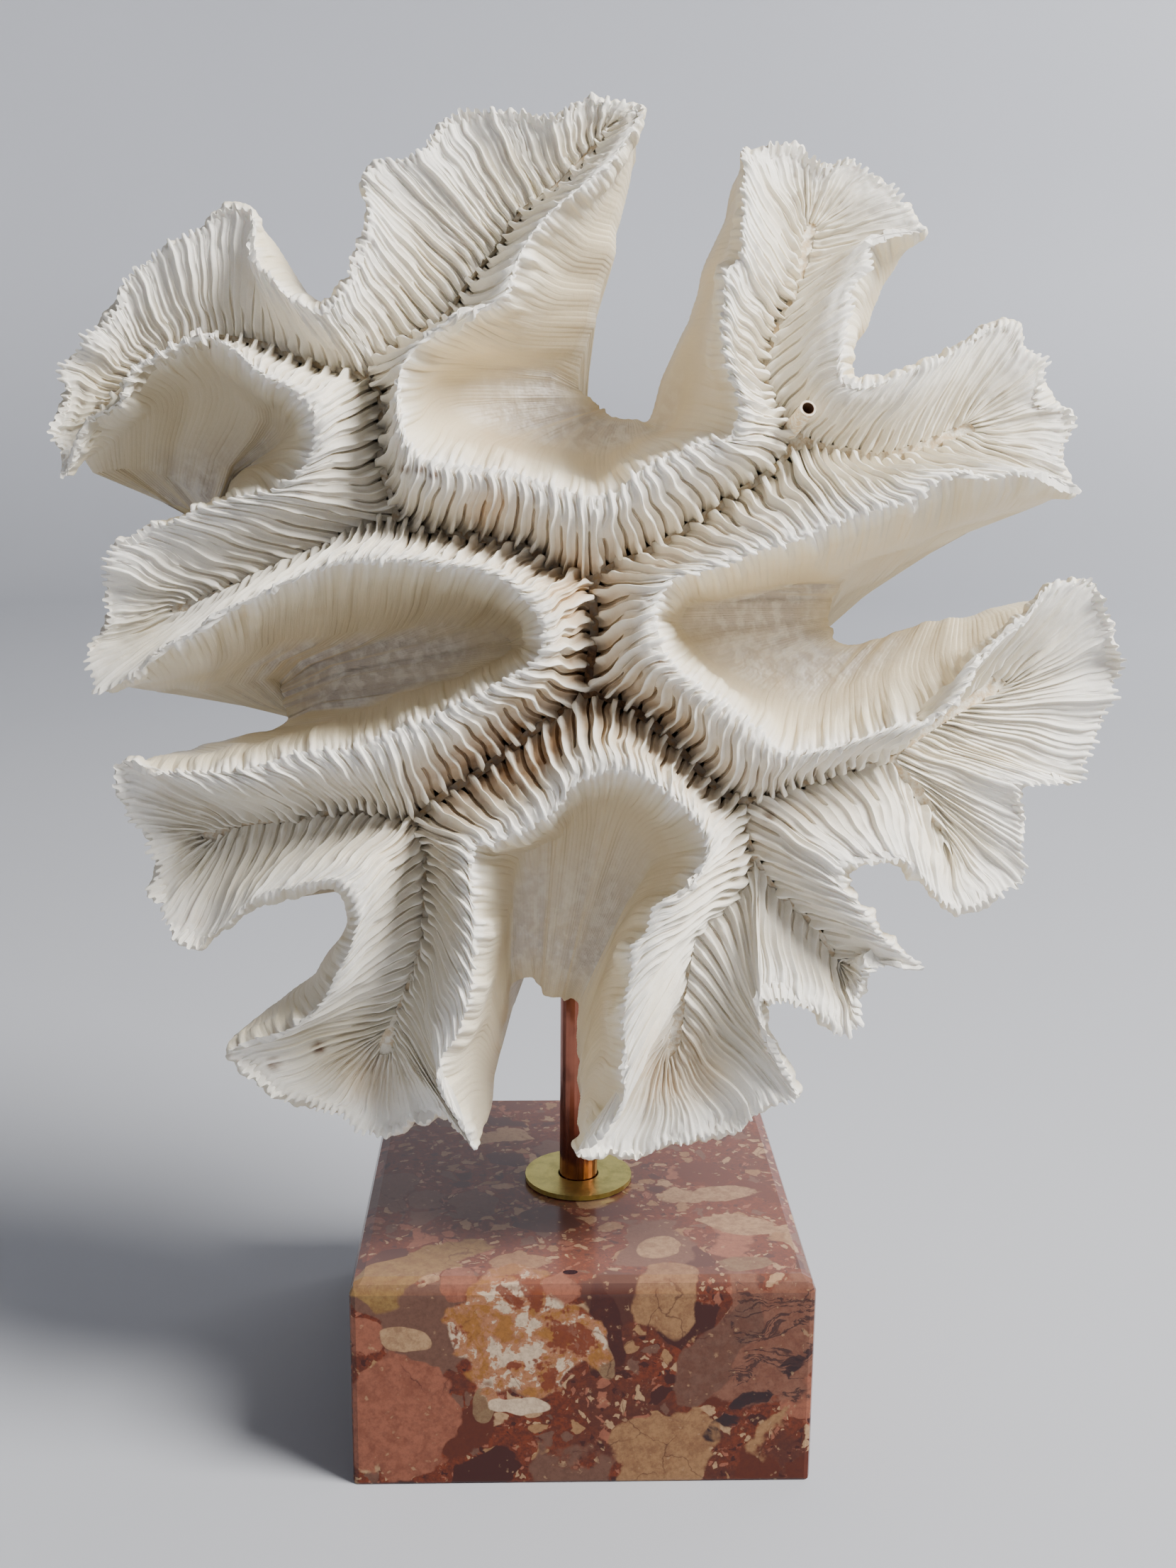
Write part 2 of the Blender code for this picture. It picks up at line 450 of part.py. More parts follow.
        [(64, 72.5, 31), (57, 68, 35), (50, 66, 37), (44.5, 66.5, 37)],
        (1, 1, 1, 1), (9, 11, 12), 0.6,
    ),
    stretch(
        "top_right_outer_side",
        [(47.5, 69.8), (44.7, 72.1), (45, 78), (45.2, 83), (46.3, 87.8), (48.1, 90), (50, 95), (54, 96.5),
         (58.4, 97.1)],
        [(38, 60.2)] + TO_TOP_RIGHT[1:],
        [(48, 68.8, 26), (45.7, 73.5, 26), (48.6, 80, 24), (50.9, 86, 22), (54.8, 93.2, 19)],
        [(44.5, 66.5, 37), (41.5, 71, 38), (42, 78, 36), (45, 86, 31)],
        (1, 2, 2, 1), (12, 11, 8), 0.6,
    ),
    stretch(
        "top_right_fan",
        [(58.4, 97.1), (57, 99.5), (55, 102), (52, 105), (49, 107), (45.6, 108.8), (41, 107.5), (37, 110),
         (35, 111), (31, 110.5), (27, 111.2)],
        [(39, 94), (39.8, 97.5), (38.8, 98), (37.5, 94)],
        [(54.8, 93.2, 19), (50, 100, 21), (43, 104, 22), (35, 106, 21), (27.3, 108, 16)],
        [(45, 86, 31), (42, 92, 34), (36, 96, 34), (30, 99, 31), (25.7, 105.5, 23)],
        (1, 3, 3, 0), (8, 8, 8), 0.9,
    ),
    stretch(
        "top_right_inner_side",
        [(27, 111.2), (27.5, 106), (27, 99), (26.4, 92.7), (23.7, 89.3), (23.4, 83.3), (23.1, 78.6),
         (24.8, 71.2),
         (26.4, 66.4), (25.5, 62.5), (25, 61)],
        [(37.5, 94)] + back_along(TO_TOP_RIGHT)[1:],
        [(27.3, 108, 16), (25.7, 99, 20), (22.3, 88, 25), (19.5, 78, 29), (17.5, 69, 32), (16, 63.3, 33)],
        [(25.7, 105.5, 23), (24.4, 101.4, 27), (20.4, 89.3, 33), (17, 80, 37), (13, 71.2, 39),
         (10.3, 63.5, 40)],
        (0, -3, -4, -3, -1), (8, 12, 13), 0.1,
    ),
    stretch(
        "top_hollow_right_crest",
        [(25, 61), (20, 60), (15, 58), (10, 55.5), (7, 53.5), (5, 51.5), (0, 50.5)],
        back_along(TOP_RIGHT),
        [(16, 63.3, 33), (11, 60.5, 34), (5, 58, 34), (0, 57, 34)],
        [(10.3, 63.5, 40), (8.5, 63.6, 40.5), (6.5, 63.8, 40.5), (4.5, 64, 40.5)],
        (-1, 0, 0), (13, 14, 14), 0.0,
    ),
    stretch(
        "top_hollow_left_crest",
        [(0, 50.5), (-5, 52), (-10, 53.5), (-15, 55), (-20, 55.6), (-26, 56.5), (-30, 58)],
        TOP_MIDDLE,
        [(0, 57, 34), (-6, 58, 34), (-13, 60.5, 34), (-19, 63, 34), (-22, 65.5, 33)],
        [(4.5, 64, 40.5), (3.2, 65, 40.5), (2, 66, 40.5), (1, 67, 40.5)],
        (0, 0, -1), (14, 14, 13), 0.0,
    ),
    stretch(
        "top_hollow_left_end",
        [(-30, 58), (-32, 62), (-33, 67), (-32.5, 72), (-30, 76)],
        UP_LEFT,
        [(-22, 65.5, 33), (-23, 68, 32), (-22, 71, 31), (-19, 73.5, 30)],
        [(1, 67, 40.5), (0, 67.8, 40.5), (-1, 68.6, 40), (-2, 69.4, 39.5)],
        (-1, -1, -2), (13, 13, 13), 0.0,
    ),
    stretch(
        "top_left_right_crest",
        [(-30, 76), (-25, 80), (-22, 82.5), (-17, 83.5), (-14, 85.5), (-12, 91), (-10, 95), (-8, 98),
         (-5, 101),
         (0, 105.3), (5, 110), (9, 118)],
        TO_TOP,
        [(-19, 73.5, 30), (-12, 76, 28), (-7, 82, 25), (-3, 90, 22), (1.5, 99, 18), (5.5, 107, 15),
         (8.5, 113, 14)],
        [(-2, 69.4, 39.5), (-1, 74, 38), (1.5, 82.6, 35), (3.2, 89.3, 32), (5.2, 96.7, 28), (6.9, 104, 25),
         (8.3, 109, 22)],
        (-2, -4, -5, -4, -1), (13, 11, 4), 0.1,
    ),
]


def dome(across, up):
    """Depth of the broad dome on which the crests lie."""
    x = across - CORAL_CENTRE[0]
    y = up - CORAL_CENTRE[1]
    return DOME_RISE + DOME_CURVE * (x * x + y * y) + DOME_LEAN * y


def chord_fractions(points):
    steps = np.linalg.norm(np.diff(np.asarray(points, float)[:, :2], axis=0), axis=1)
    along = np.concatenate([[0.0], np.cumsum(steps)])
    return along / along[-1]


def smooth_closed(knots, values, period, wanted):
    """Cubic curve through values at the knots of a closed loop, with no overshoot between them."""
    knots = np.asarray(knots)
    values = np.asarray(values, float)
    after = np.append(knots[1:], knots[0] + period)
    step = (after - knots)[:, None]
    slope = (np.roll(values, -1, axis=0) - values) / step
    before_slope = np.roll(slope, 1, axis=0)
    before_step = np.roll(step, 1, axis=0)
    tangent = (slope * before_step + before_slope * step) / (step + before_step)
    limit = 3 * np.minimum(np.abs(slope), np.abs(before_slope))
    tangent = np.where(slope * before_slope > 0, np.clip(tangent, -limit, limit), 0.25 * tangent)
    index = np.searchsorted(knots, wanted, side="right") - 1
    nearby = (index + 1) % len(knots)
    span = step[index]
    t = ((wanted - knots[index])[:, None]) / span
    h1 = 2 * t**3 - 3 * t**2 + 1
    h2 = t**3 - 2 * t**2 + t
    h3 = 3 * t**2 - 2 * t**3
    h4 = t**3 - t**2
    here = h1 * values[index] + h2 * span * tangent[index]
    return here + h3 * values[nearby] + h4 * span * tangent[nearby]


def rim_lengths():
    """Where each stretch starts along the rim, and the length of the whole rim."""
    starts = [0.0]
    for piece in STRETCHES:
        rim = np.asarray(piece["rim"], float)
        starts.append(starts[-1] + np.linalg.norm(np.diff(rim, axis=0), axis=1).sum())
    return starts[:-1], starts[-1]


def closed_loop(key, places):
    """The stations named key of every stretch as one closed loop, read at the places along the rim."""
    starts, whole = rim_lengths()
    ends = starts[1:] + [whole]
    knots = []
    values = []
    for piece, start, end in zip(STRETCHES, starts, ends):
        stations = np.asarray(piece[key], float)
        if stations.ndim == 1:
            fractions = np.linspace(0, 1, len(stations))
            stations = stations[:, None]
        else:
            fractions = chord_fractions(stations)
        knots.extend(start + (end - start) * fractions[:-1])
        values.extend(stations[:-1])
    return smooth_closed(knots, values, whole, places)


def level_loop(key, places):
    """A number given once for each stretch, such as fan, eased from the middle of one to the next."""
    starts, whole = rim_lengths()
    ends = starts[1:] + [whole]
    middles = [(start + end) / 2 for start, end in zip(starts, ends)]
    wanted = np.where(places < middles[0], places + whole, places)
    return smooth_closed(middles, [[piece[key]] for piece in STRETCHES], whole, wanted)[:, 0]


def blurred(values, passes):
    """Values round a closed loop, each pass mixing every one with its neighbours."""
    for _ in range(passes):
        values = 0.25 * np.roll(values, 1, axis=0) + 0.5 * values + 0.25 * np.roll(values, -1, axis=0)
    return values


def turning_once(back, passes):
    """Angles of the base ring, one a column, that turn once round it and never back. They are close to the
    wall's own, and where a lobe is wider than its waist, to the waist's."""
    count = len(back)
    away = back[:, :2] - BASE_CENTRE
    around = np.unwrap(np.arctan2(away[:, 1], away[:, 0]))
    turns = np.concatenate([around - 2 * pi, around, around + 2 * pi])
    hold = np.tile(np.linalg.norm(away, axis=1) ** -WAIST_HOLD, 3)
    places = np.arange(len(turns))
    highest = np.maximum.accumulate(turns)
    before = np.maximum.accumulate(np.where(turns >= highest, places, 0))
    lowest = np.minimum.accumulate(turns[::-1])[::-1]
    after = np.minimum.accumulate(np.where(turns <= lowest, places, len(turns) - 1)[::-1])[::-1]
    kept = (highest * hold[before] + lowest * hold[after]) / (hold[before] + hold[after])
    kept = kept[count:2 * count]
    even = np.linspace(0, 2 * pi, count, endpoint=False)
    even = even + (kept - even).mean()
    return even + blurred(BASE_FOLLOW * (kept - even), passes)


def unit(vectors):
    return vectors / np.maximum(np.linalg.norm(vectors, axis=-1, keepdims=True), 1e-9)


def coral_loops(columns):
    """The coral's closed loops, one station a column: groove, rim, foot, back and base."""
    _, whole = rim_lengths()
    places = np.arange(columns) * whole / columns
    fan = level_loop("fan", places)
    rim_flat = closed_loop("rim", places)
    groove_flat = closed_loop("groove", places)
    foot = closed_loop("foot", places)
    back = closed_loop("back", places)
    soften = max(1, int(round((columns / whole * 1.6) ** 2)))
    groove_flat = blurred(groove_flat, soften)
    foot = blurred(foot, soften)
    back = blurred(back, soften)
    lift = blurred(closed_loop("lift", places), soften)[:, 0]
    drop = blurred(closed_loop("drop", places), soften)[:, 0]
    reach = max(1, int(round(columns / whole * 3)))
    travel = np.roll(groove_flat, -reach, axis=0) - np.roll(groove_flat, reach, axis=0)
    outward = np.stack([travel[:, 1], -travel[:, 0]], axis=1) / 6.0
    outward = unit(outward + 0.45 * unit(rim_flat - groove_flat))
    groove_flat = groove_flat + GROOVE_HALF_WIDTH * outward
    groove = np.column_stack([groove_flat, dome(groove_flat[:, 0], groove_flat[:, 1]) + drop])
    rim = np.column_stack([rim_flat, dome(rim_flat[:, 0], rim_flat[:, 1]) + lift])
    around = turning_once(back, soften)
    base = np.column_stack([
        BASE_CENTRE[0] + BASE_RADIUS * np.cos(around),
        BASE_CENTRE[1] + BASE_RADIUS * np.sin(around),
        BASE_DEPTH + 1.2 * np.sin(3 * around),
    ])
    straight = back + (base - back) * np.array([KEEL_SHARE, KEEL_SHARE, KEEL_DEPTH_SHARE])
    reach = np.linalg.norm(straight[:, :2] - BASE_CENTRE, axis=1)
    keel = np.column_stack([
        BASE_CENTRE[0] + reach * np.cos(around),
        BASE_CENTRE[1] + reach * np.sin(around),
        straight[:, 2],
    ])
    travel = blurred(np.roll(rim_flat, -1, axis=0) - np.roll(rim_flat, 1, axis=0), max(1, soften // 2))
    outward = unit(np.stack([travel[:, 1], -travel[:, 0]], axis=1))
    return dict(
        fan=fan, groove=groove, rim=rim, outward=outward, foot=foot, back=back, keel=keel, base=base
    )


def inside_row(loops, s):
    """The smooth inner wall at s, from 0 at the groove to 1 at the rim."""
    fan = loops["fan"]
    groove = loops["groove"]
    rim = loops["rim"]
    power = 2.3 - 0.9 * fan
    crest = 0.86 + 0.14 * fan
    rise = 1 - np.abs(np.clip(1 - s / crest, 0, 1)) ** power
    over = np.clip(s - crest, 0, 1) / np.maximum(1 - crest, 0.02)
    flat = groove[:, :2] + (rim[:, :2] - groove[:, :2]) * s
    depth = groove[:, 2] + (rim[:, 2] - groove[:, 2]) * rise + 0.7 * (1 - fan) * over**2
    return np.column_stack([flat, depth])


def outside_row(loops, w):
    """The smooth outer wall at w, from 0 at the rim to 1 at the base."""
    rim = loops["rim"].copy()
    rim[:, 2] += 0.7 * (1 - loops["fan"])
    foot = loops["foot"]
    back = loops["back"]
    base = loops["base"]
    shoulder = rim + (foot - rim) * np.array([0.22, 0.22, 0.42])
    shoulder[:, :2] += WALL_THICKNESS * loops["outward"]
    return through_rows(OUTSIDE_KNOTS, (rim, shoulder, foot, back, loops["keel"], base), w)


def through_rows(knots, rows, w):
    """Cubic curve through whole rows of points, with no overshoot."""
    rows = np.asarray(rows)
    knots = np.asarray(knots)
    step = np.diff(knots)[:, None, None]
    slope = np.diff(rows, axis=0) / step
    inner = (slope[1:] * step[:-1] + slope[:-1] * step[1:]) / (step[1:] + step[:-1])
    limit = 3 * np.minimum(np.abs(slope[1:]), np.abs(slope[:-1]))
    inner = np.where(slope[1:] * slope[:-1] > 0, np.clip(inner, -limit, limit), 0.0)
    tangent = np.concatenate([slope[:1], inner, slope[-1:]])
    k = min(int(np.searchsorted(knots, w, side="right")) - 1, len(knots) - 2)
    t = (w - knots[k]) / (knots[k + 1] - knots[k])
    span = step[k]
    return (
        (2 * t**3 - 3 * t**2 + 1) * rows[k]
        + (t**3 - 2 * t**2 + t) * span * tangent[k]
        + (3 * t**2 - 2 * t**3) * rows[k + 1]
        + (t**3 - t**2) * span * tangent[k + 1]
    )


def view_axes():
    forward = np.array([sin(VIEW_YAW) * cos(VIEW_PITCH), cos(VIEW_YAW) * cos(VIEW_PITCH), -sin(VIEW_PITCH)])
    level_right = np.array([cos(VIEW_YAW), -sin(VIEW_YAW), 0.0])
    level_up = np.cross(level_right, forward)
    right = cos(VIEW_ROLL) * level_right + sin(VIEW_ROLL) * level_up
    up = cos(VIEW_ROLL) * level_up - sin(VIEW_ROLL) * level_right
    return forward, right, up


def placed(stations):
    """Stations (across, up, behind) as points in the part's own frame, in millimetres."""
    forward, right, up = view_axes()
    stations = np.asarray(stations, float)
    across = stations[..., 0:1] / PLANE_DISTANCE
    height = stations[..., 1:2] / PLANE_DISTANCE
    away = stations[..., 2:3] + PLANE_DISTANCE
    return np.array(VIEW_POINT) + away * (forward + across * right + height * up)


def new_material(name, colour, roughness, metallic=0.0):
    material = bpy.data.materials.new(name)
    material.use_nodes = True
    shader = material.node_tree.nodes["Principled BSDF"]
    shader.inputs["Base Color"].default_value = (*colour, 1.0)
    shader.inputs["Roughness"].default_value = roughness
    shader.inputs["Metallic"].default_value = metallic
    material.diffuse_color = (*colour, 1.0)
    return material


def new_object(name, mesh, material):
    obj = bpy.data.objects.new(name, mesh)
    bpy.context.scene.collection.objects.link(obj)
    if material:
        mesh.materials.append(material)
    return obj


def as_helper(obj):
    obj.hide_render = True
    obj.display_type = "WIRE"
    return obj


def solid_from(name, points, faces, material, slivers=False):
    """A mesh object from points in millimetres, its faces turned outward. With slivers, the triangles of
    almost no width that a cut leaves are taken out of it."""
    mesh = bpy.data.meshes.new(name)
    mesh.from_pydata([tuple(p) for p in np.asarray(points) * MM], [], faces)
    work = bmesh.new()
    work.from_mesh(mesh)
    if slivers:
        bmesh.ops.dissolve_degenerate(work, dist=SLIVER_WIDTH * MM, edges=work.edges)
        bmesh.ops.triangulate(work, faces=work.faces)
    bmesh.ops.recalc_face_normals(work, faces=work.faces)
    work.to_mesh(mesh)
    work.free()
    return new_object(name, mesh, material)


def coral_skin(material):
    """The whole coral as one closed mesh: ridged inside, smooth walls outside, cut flat at the base. The
    even columns are ridge tops and the odd ones the gaps between them. The lower rows have fewer columns."""
    _, whole = rim_lengths()
    columns = 4 * int(round(whole / RIDGE_SPACING / 2))
    loops = coral_loops(columns)
    inside = placed(np.array([inside_row(loops, s) for s in INSIDE_ROWS]))
    along = np.roll(inside, -1, axis=1) - np.roll(inside, 1, axis=1)
    down = np.gradient(inside, axis=0)
    depth = RIDGE_DEPTH_CENTRE + (RIDGE_DEPTH_FAN - RIDGE_DEPTH_CENTRE) * loops["fan"]
    depth = depth * (np.arange(columns) % 2)
    inside = inside - unit(np.cross(down, along)) * np.outer(GAP_SHARES, depth)[..., None]
    rings = list(inside)
    for w, stride in zip(OUTSIDE_ROWS, OUTSIDE_STRIDES):
        rings.append(placed(outside_row(loops, w))[::stride])
    faces = []
    start = 0
    for ring, below in zip(rings, rings[1:]):
        faces.extend(band(start, len(ring), len(below)))
        start += len(ring)
    floor_loop = [(x, y, 0.0) for x, y in loops["groove"][:, :2]]
    faces.extend(tuple(face) for face in tessellate_polygon([floor_loop]))
    count = len(rings[-1])
    faces.extend((start + i, start + (i + 1) % count, start + count) for i in range(count))
    return solid_from("coral_whole", np.vstack(rings + [rings[-1].mean(axis=0)]), faces, material)


def band(start, count, count_below):
    """Triangles between a closed ring of count points and the next ring, with as many points or half."""
    faces = []
    below = start + count
    step = count // count_below
    for i in range(count_below):
        top, next_top = start + i * step, start + (i + 1) * step % count
        low, next_low = below + i, below + (i + 1) % count_below
        if step == 1:
            faces += [(top, next_top, next_low), (top, next_low, low)]
        else:
            faces += [(top, top + 1, low), (top + 1, next_low, low), (top + 1, next_top, next_low)]
    return faces


def clear_scene():
    for obj in list(bpy.data.objects):
        bpy.data.objects.remove(obj, do_unlink=True)


def make_block(material):
    """Square marble block with eased top edges and a blind hole for the rod."""
    mesh = bpy.data.meshes.new("marble_block")
    work = bmesh.new()
    bmesh.ops.create_cube(work, size=1.0)
    for vertex in work.verts:
        vertex.co.x *= BLOCK_SIDE * MM
        vertex.co.y *= BLOCK_SIDE * MM
        vertex.co.z = (vertex.co.z + 0.5) * BLOCK_HEIGHT * MM
    work.to_mesh(mesh)
    work.free()
    block = new_object("marble_block", mesh, material)
    eased = block.modifiers.new("eased edges", "BEVEL")
    eased.width = BLOCK_CHAMFER * MM
    eased.segments = 2
    eased.limit_method = "WEIGHT"
    weights = mesh.attributes.new("bevel_weight_edge", "FLOAT", "EDGE")
    for edge in mesh.edges:
        a, b = (mesh.vertices[i].co for i in edge.vertices)
        top = min(a.z, b.z) > 0.5 * BLOCK_HEIGHT * MM
        upright = abs(a.z - b.z) > 0.5 * BLOCK_HEIGHT * MM
        weights.data[edge.index].value = 1.0 if top else 0.45 if upright else 0.2
    low = BLOCK_HEIGHT - ROD_SINK - GAP
    hole = make_rod("rod_hole_cutter", low, BLOCK_HEIGHT + CUTTER_OVERRUN, ROD_DIAMETER + 2 * GAP, None)
    cut_with(block, as_helper(hole))
    return block


def make_rod(name, low, high, diameter, material, sides=24):
    mesh = bpy.data.meshes.new(name)
    work = bmesh.new()
    bmesh.ops.create_cone(
        work, cap_ends=True, segments=sides, radius1=diameter / 2 * MM, radius2=diameter / 2 * MM,
        depth=(high - low) * MM,
    )
    bmesh.ops.translate(work, verts=work.verts, vec=(0, 0, (low + high) / 2 * MM))
    work.to_mesh(mesh)
    work.free()
    mesh.shade_smooth()
    mesh.set_sharp_from_angle(angle=radians(40))
    return new_object(name, mesh, material)


def make_disc(material):
    low = BLOCK_HEIGHT + GAP
    disc = make_rod("brass_disc", low, low + DISC_THICKNESS, DISC_DIAMETER, material, 32)
    high = low + DISC_THICKNESS + CUTTER_OVERRUN
    hole = make_rod("disc_hole_cutter", low - CUTTER_OVERRUN, high, ROD_DIAMETER + 2 * GAP, None)
    cut_with(disc, as_helper(hole))
    return disc


def cut_with(obj, cutter, operation="DIFFERENCE", solver="EXACT"):
    boolean = obj.modifiers.new("cut " + cutter.name, "BOOLEAN")
    boolean.operation = operation
    boolean.object = cutter
    boolean.solver = solver


def sight_prism(name, outline):
    """A cutter: an outline on the viewing plane, carried along the lines of sight through the coral."""
    count = len(outline)
    near = [(x, y, FRUSTUM_NEAR) for x, y in outline]
    far = [(x, y, FRUSTUM_FAR) for x, y in outline]
    faces = [tuple(range(count)), tuple(range(count, 2 * count))]
    faces += [(i, (i + 1) % count, count + (i + 1) % count, count + i) for i in range(count)]
    return as_helper(solid_from(name, placed(near + far), faces, None))


def toward_centre(point, distance):
    """A station moved toward the coral's centre, which opens the saw line."""
    reach = np.array(CORAL_CENTRE) - np.array(point)
    return tuple(np.array(point) + reach / np.linalg.norm(reach) * distance)


def cut_result(obj):
    """Points and faces of an object with its modifiers applied."""
    bpy.context.view_layer.update()
    mesh = obj.evaluated_get(bpy.context.evaluated_depsgraph_get()).to_mesh()
    mesh.calc_loop_triangles()
    points = np.array([tuple(vertex.co) for vertex in mesh.vertices])
    faces = np.array([tuple(triangle.vertices) for triangle in mesh.loop_triangles])
    return points, faces


def whole_pieces(points, faces):
    """The mesh parted into its connected pieces, largest first, without crumbs."""
    label = np.arange(len(points))
    while True:
        lowest = label[faces].min(axis=1)
        before = label.copy()
        for corner in range(3):
            np.minimum.at(label, faces[:, corner], lowest)
        label = label[label]
        if (label == before).all():
            break
    pieces = []
    for mark in np.unique(label[faces[:, 0]]):
        own = faces[label[faces[:, 0]] == mark]
        used, renumbered = np.unique(own, return_inverse=True)
        corners = points[used]
        own = renumbered.reshape(-1, 3)
        first, second, third = corners[own[:, 0]], corners[own[:, 1]], corners[own[:, 2]]
        volume = np.einsum("ij,ij->i", first, np.cross(second, third)).sum() / 6
        if volume > CRUMB_VOLUME * MM**3:
            pieces.append((volume, corners, own))
    return sorted(pieces, key=lambda piece: -piece[0])


def stations_of(points):
    """Placed points in millimetres back as (across, up) on the viewing plane."""
    forward, right, up = view_axes()
    away = points - np.array(VIEW_POINT)
    return np.column_stack([away @ right, away @ up]) / (away @ forward)[:, None] * PLANE_DISTANCE


def split_at_forks(whole, material):
    """The coral parted along the saw line into its core and its lobes, with a blind socket for the rod."""
    socket = as_helper(make_rod("socket_cutter", SOCKET_LOW, ROD_TOP + GAP, ROD_DIAMETER + 2 * GAP, None))
    inner = [toward_centre(p, GAP + 0.05) for p in SAW_LINE]
    beyond = new_object("coral_beyond_forks", whole.data, None)
    within = new_object("coral_within_forks", whole.data, None)
    cut_with(beyond, socket, "DIFFERENCE", "MANIFOLD")
    cut_with(within, socket, "DIFFERENCE", "MANIFOLD")
    cut_with(beyond, sight_prism("saw_line_outer", SAW_LINE), "DIFFERENCE", "MANIFOLD")
    cut_with(within, sight_prism("saw_line_inner", inner), "INTERSECT", "MANIFOLD")
    core = whole_pieces(*cut_result(within))[0]
    lobes = whole_pieces(*cut_result(beyond))
    for helper in (whole, beyond, within):
        as_helper(helper)
    for _, points, faces in lobes:
        middle = stations_of(points / MM).mean(axis=0)
        name = min(LOBES, key=lambda lobe: np.hypot(*(middle - np.array(LOBES[lobe]))))
        solid_from(name, points / MM, faces.tolist(), material, slivers=True)
    return solid_from("coral_core", core[1] / MM, core[2].tolist(), material, slivers=True)


def make_tube(name, start, end, radius, material, sides=14):
    """A straight round bar between two placed points."""
    start = Vector(start)
    axis = Vector(end) - start
    mesh = bpy.data.meshes.new(name)
    work = bmesh.new()
    bmesh.ops.create_cone(
        work, cap_ends=True, segments=sides, radius1=radius * MM, radius2=radius * MM, depth=axis.length * MM
    )
    work.to_mesh(mesh)
    work.free()
    turn = Vector((0, 0, 1)).rotation_difference(axis).to_matrix().to_4x4()
    mesh.transform(Matrix.Translation((start + axis / 2) * MM) @ turn)
    mesh.shade_smooth()
    mesh.set_sharp_from_angle(angle=radians(40))
    return new_object(name, mesh, material)


def make_worm_tube(core, material):
    """The small tube in the fork between the two right upper lobes, in a pocket of its own."""
    mouth = Vector(placed(TUBE_MOUTH))
    end = Vector(placed(TUBE_END))
    inward = (end - mouth).normalized()
    tube = make_tube("worm_tube", mouth, end, TUBE_RADIUS, material)
    bore = make_tube("worm_tube_bore", mouth - inward, mouth + inward * TUBE_BORE_DEPTH, TUBE_BORE, None)
    cut_with(tube, as_helper(bore))
    outer = mouth - inward * CUTTER_OVERRUN
    pocket = make_tube("worm_tube_pocket", outer, end + inward * GAP, TUBE_RADIUS + GAP, None)
    cut_with(core, as_helper(pocket), "DIFFERENCE", "MANIFOLD")


def main():
    clear_scene()
    bone = new_material("coral skeleton", (0.80, 0.75, 0.65), 0.6)
    marble = new_material("breccia marble", (0.30, 0.12, 0.08), 0.15)
    copper = new_material("copper", (0.55, 0.22, 0.14), 0.2, 1.0)
    brass = new_material("brass", (0.45, 0.40, 0.13), 0.35, 1.0)
    make_block(marble)
    make_rod("copper_rod", BLOCK_HEIGHT - ROD_SINK, ROD_TOP, ROD_DIAMETER, copper)
    make_disc(brass)
    core = split_at_forks(coral_skin(bone), bone)
    make_worm_tube(core, bone)


main()
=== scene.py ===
"""Looks of the brain coral on its marble stand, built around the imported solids. The coral is one fine sheet
that repeats the solids' rim, valleys and walls with every septum. Units are millimetres until the meshes are
made."""

from math import cos, pi, radians, sin

import bpy
import numpy as np
from mathutils import Matrix, Vector
from mathutils.geometry import tessellate_polygon


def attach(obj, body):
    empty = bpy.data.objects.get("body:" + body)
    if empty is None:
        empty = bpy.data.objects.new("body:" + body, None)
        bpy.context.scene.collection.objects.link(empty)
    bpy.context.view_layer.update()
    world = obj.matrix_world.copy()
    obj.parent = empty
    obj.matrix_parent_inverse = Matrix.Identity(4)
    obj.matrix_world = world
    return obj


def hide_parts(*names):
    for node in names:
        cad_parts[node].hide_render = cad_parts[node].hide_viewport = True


MM = 0.001
SEED = 7

# Viewing point from which the coral's stations were read, on a plane 300 mm in front of it.
# A station is (across, up, behind): the first two on that plane, the third the depth behind it.
VIEW_POINT = (-9.32, -337.20, 203.64)
VIEW_YAW = radians(1.81)
VIEW_PITCH = radians(12.617)
VIEW_ROLL = radians(0.498)
PLANE_DISTANCE = 300.0
LENS = 39.40
SENSOR = 36.0

# Coral
CORAL_CENTRE = (0.0, 25.0)
DOME_RISE = -4.0
DOME_CURVE = 0.0021
DOME_LEAN = -0.08
GROOVE_HALF_WIDTH = 0.25
WALL_THICKNESS = 1.2
BASE_CENTRE = (0.0, -6.0)
BASE_RADIUS = 15.0
BASE_DEPTH = 68.0
KEEL_SHARE = 0.4
KEEL_DEPTH_SHARE = 0.62
WAIST_HOLD = 6
BASE_FOLLOW = 0.85
OUTSIDE_KNOTS = (0.0, 0.18, 0.45, 0.68, 0.86, 1.0)

# Septa, of three orders in turn: 0 long, 1 middle and 2 short. Shares run from 0 at the groove to 1 at the
# rim.
SEPTUM_SPACING = 1.3
SEPTUM_ORDERS = (0, 2, 1, 2)
HALF_WIDTHS = (0.13, 0.105, 0.08)
ROOM_NEEDED = (-1.0, 0.2, 0.55)
ROOM_FADE = 0.3
END_FADE = 0.1
CREST_BAND = 0.12
THICKENING = 0.74
LEAST_HALF = 0.08
MOST_HALF = 0.42
RAGGED_FINE = 0.08
RAGGED_BROAD = 0.16
KNOB_PLACE = 0.04
KNOB_STRAY = 0.09
KNOB_LENGTH = 0.06
KNOB_WIDTH = 0.26
BRIDGE_HEIGHT = 0.9
BRIDGE_LENGTH = 0.12
SWAY = 0.13
DRIFT = 0.35
LEAN = 0.3
GAP_SPREAD = 0.15
OPEN_SPACING = 0.9
CROWDED_GAP = 0.35
NORMAL_PASSES = 30
RIM_GAP = 0.34
WALL_GAP = 0.05
CREST_EDGE = -0.05
CREST_MIDDLE = 0.04
FOOT_WIDENING = 1.15
MOST_FOOT = 0.46
TOOTH_START = 0.84
TOOTH_END = 0.07
PLEAT_SHARE = 0.5
GRID_STEP = 0.25
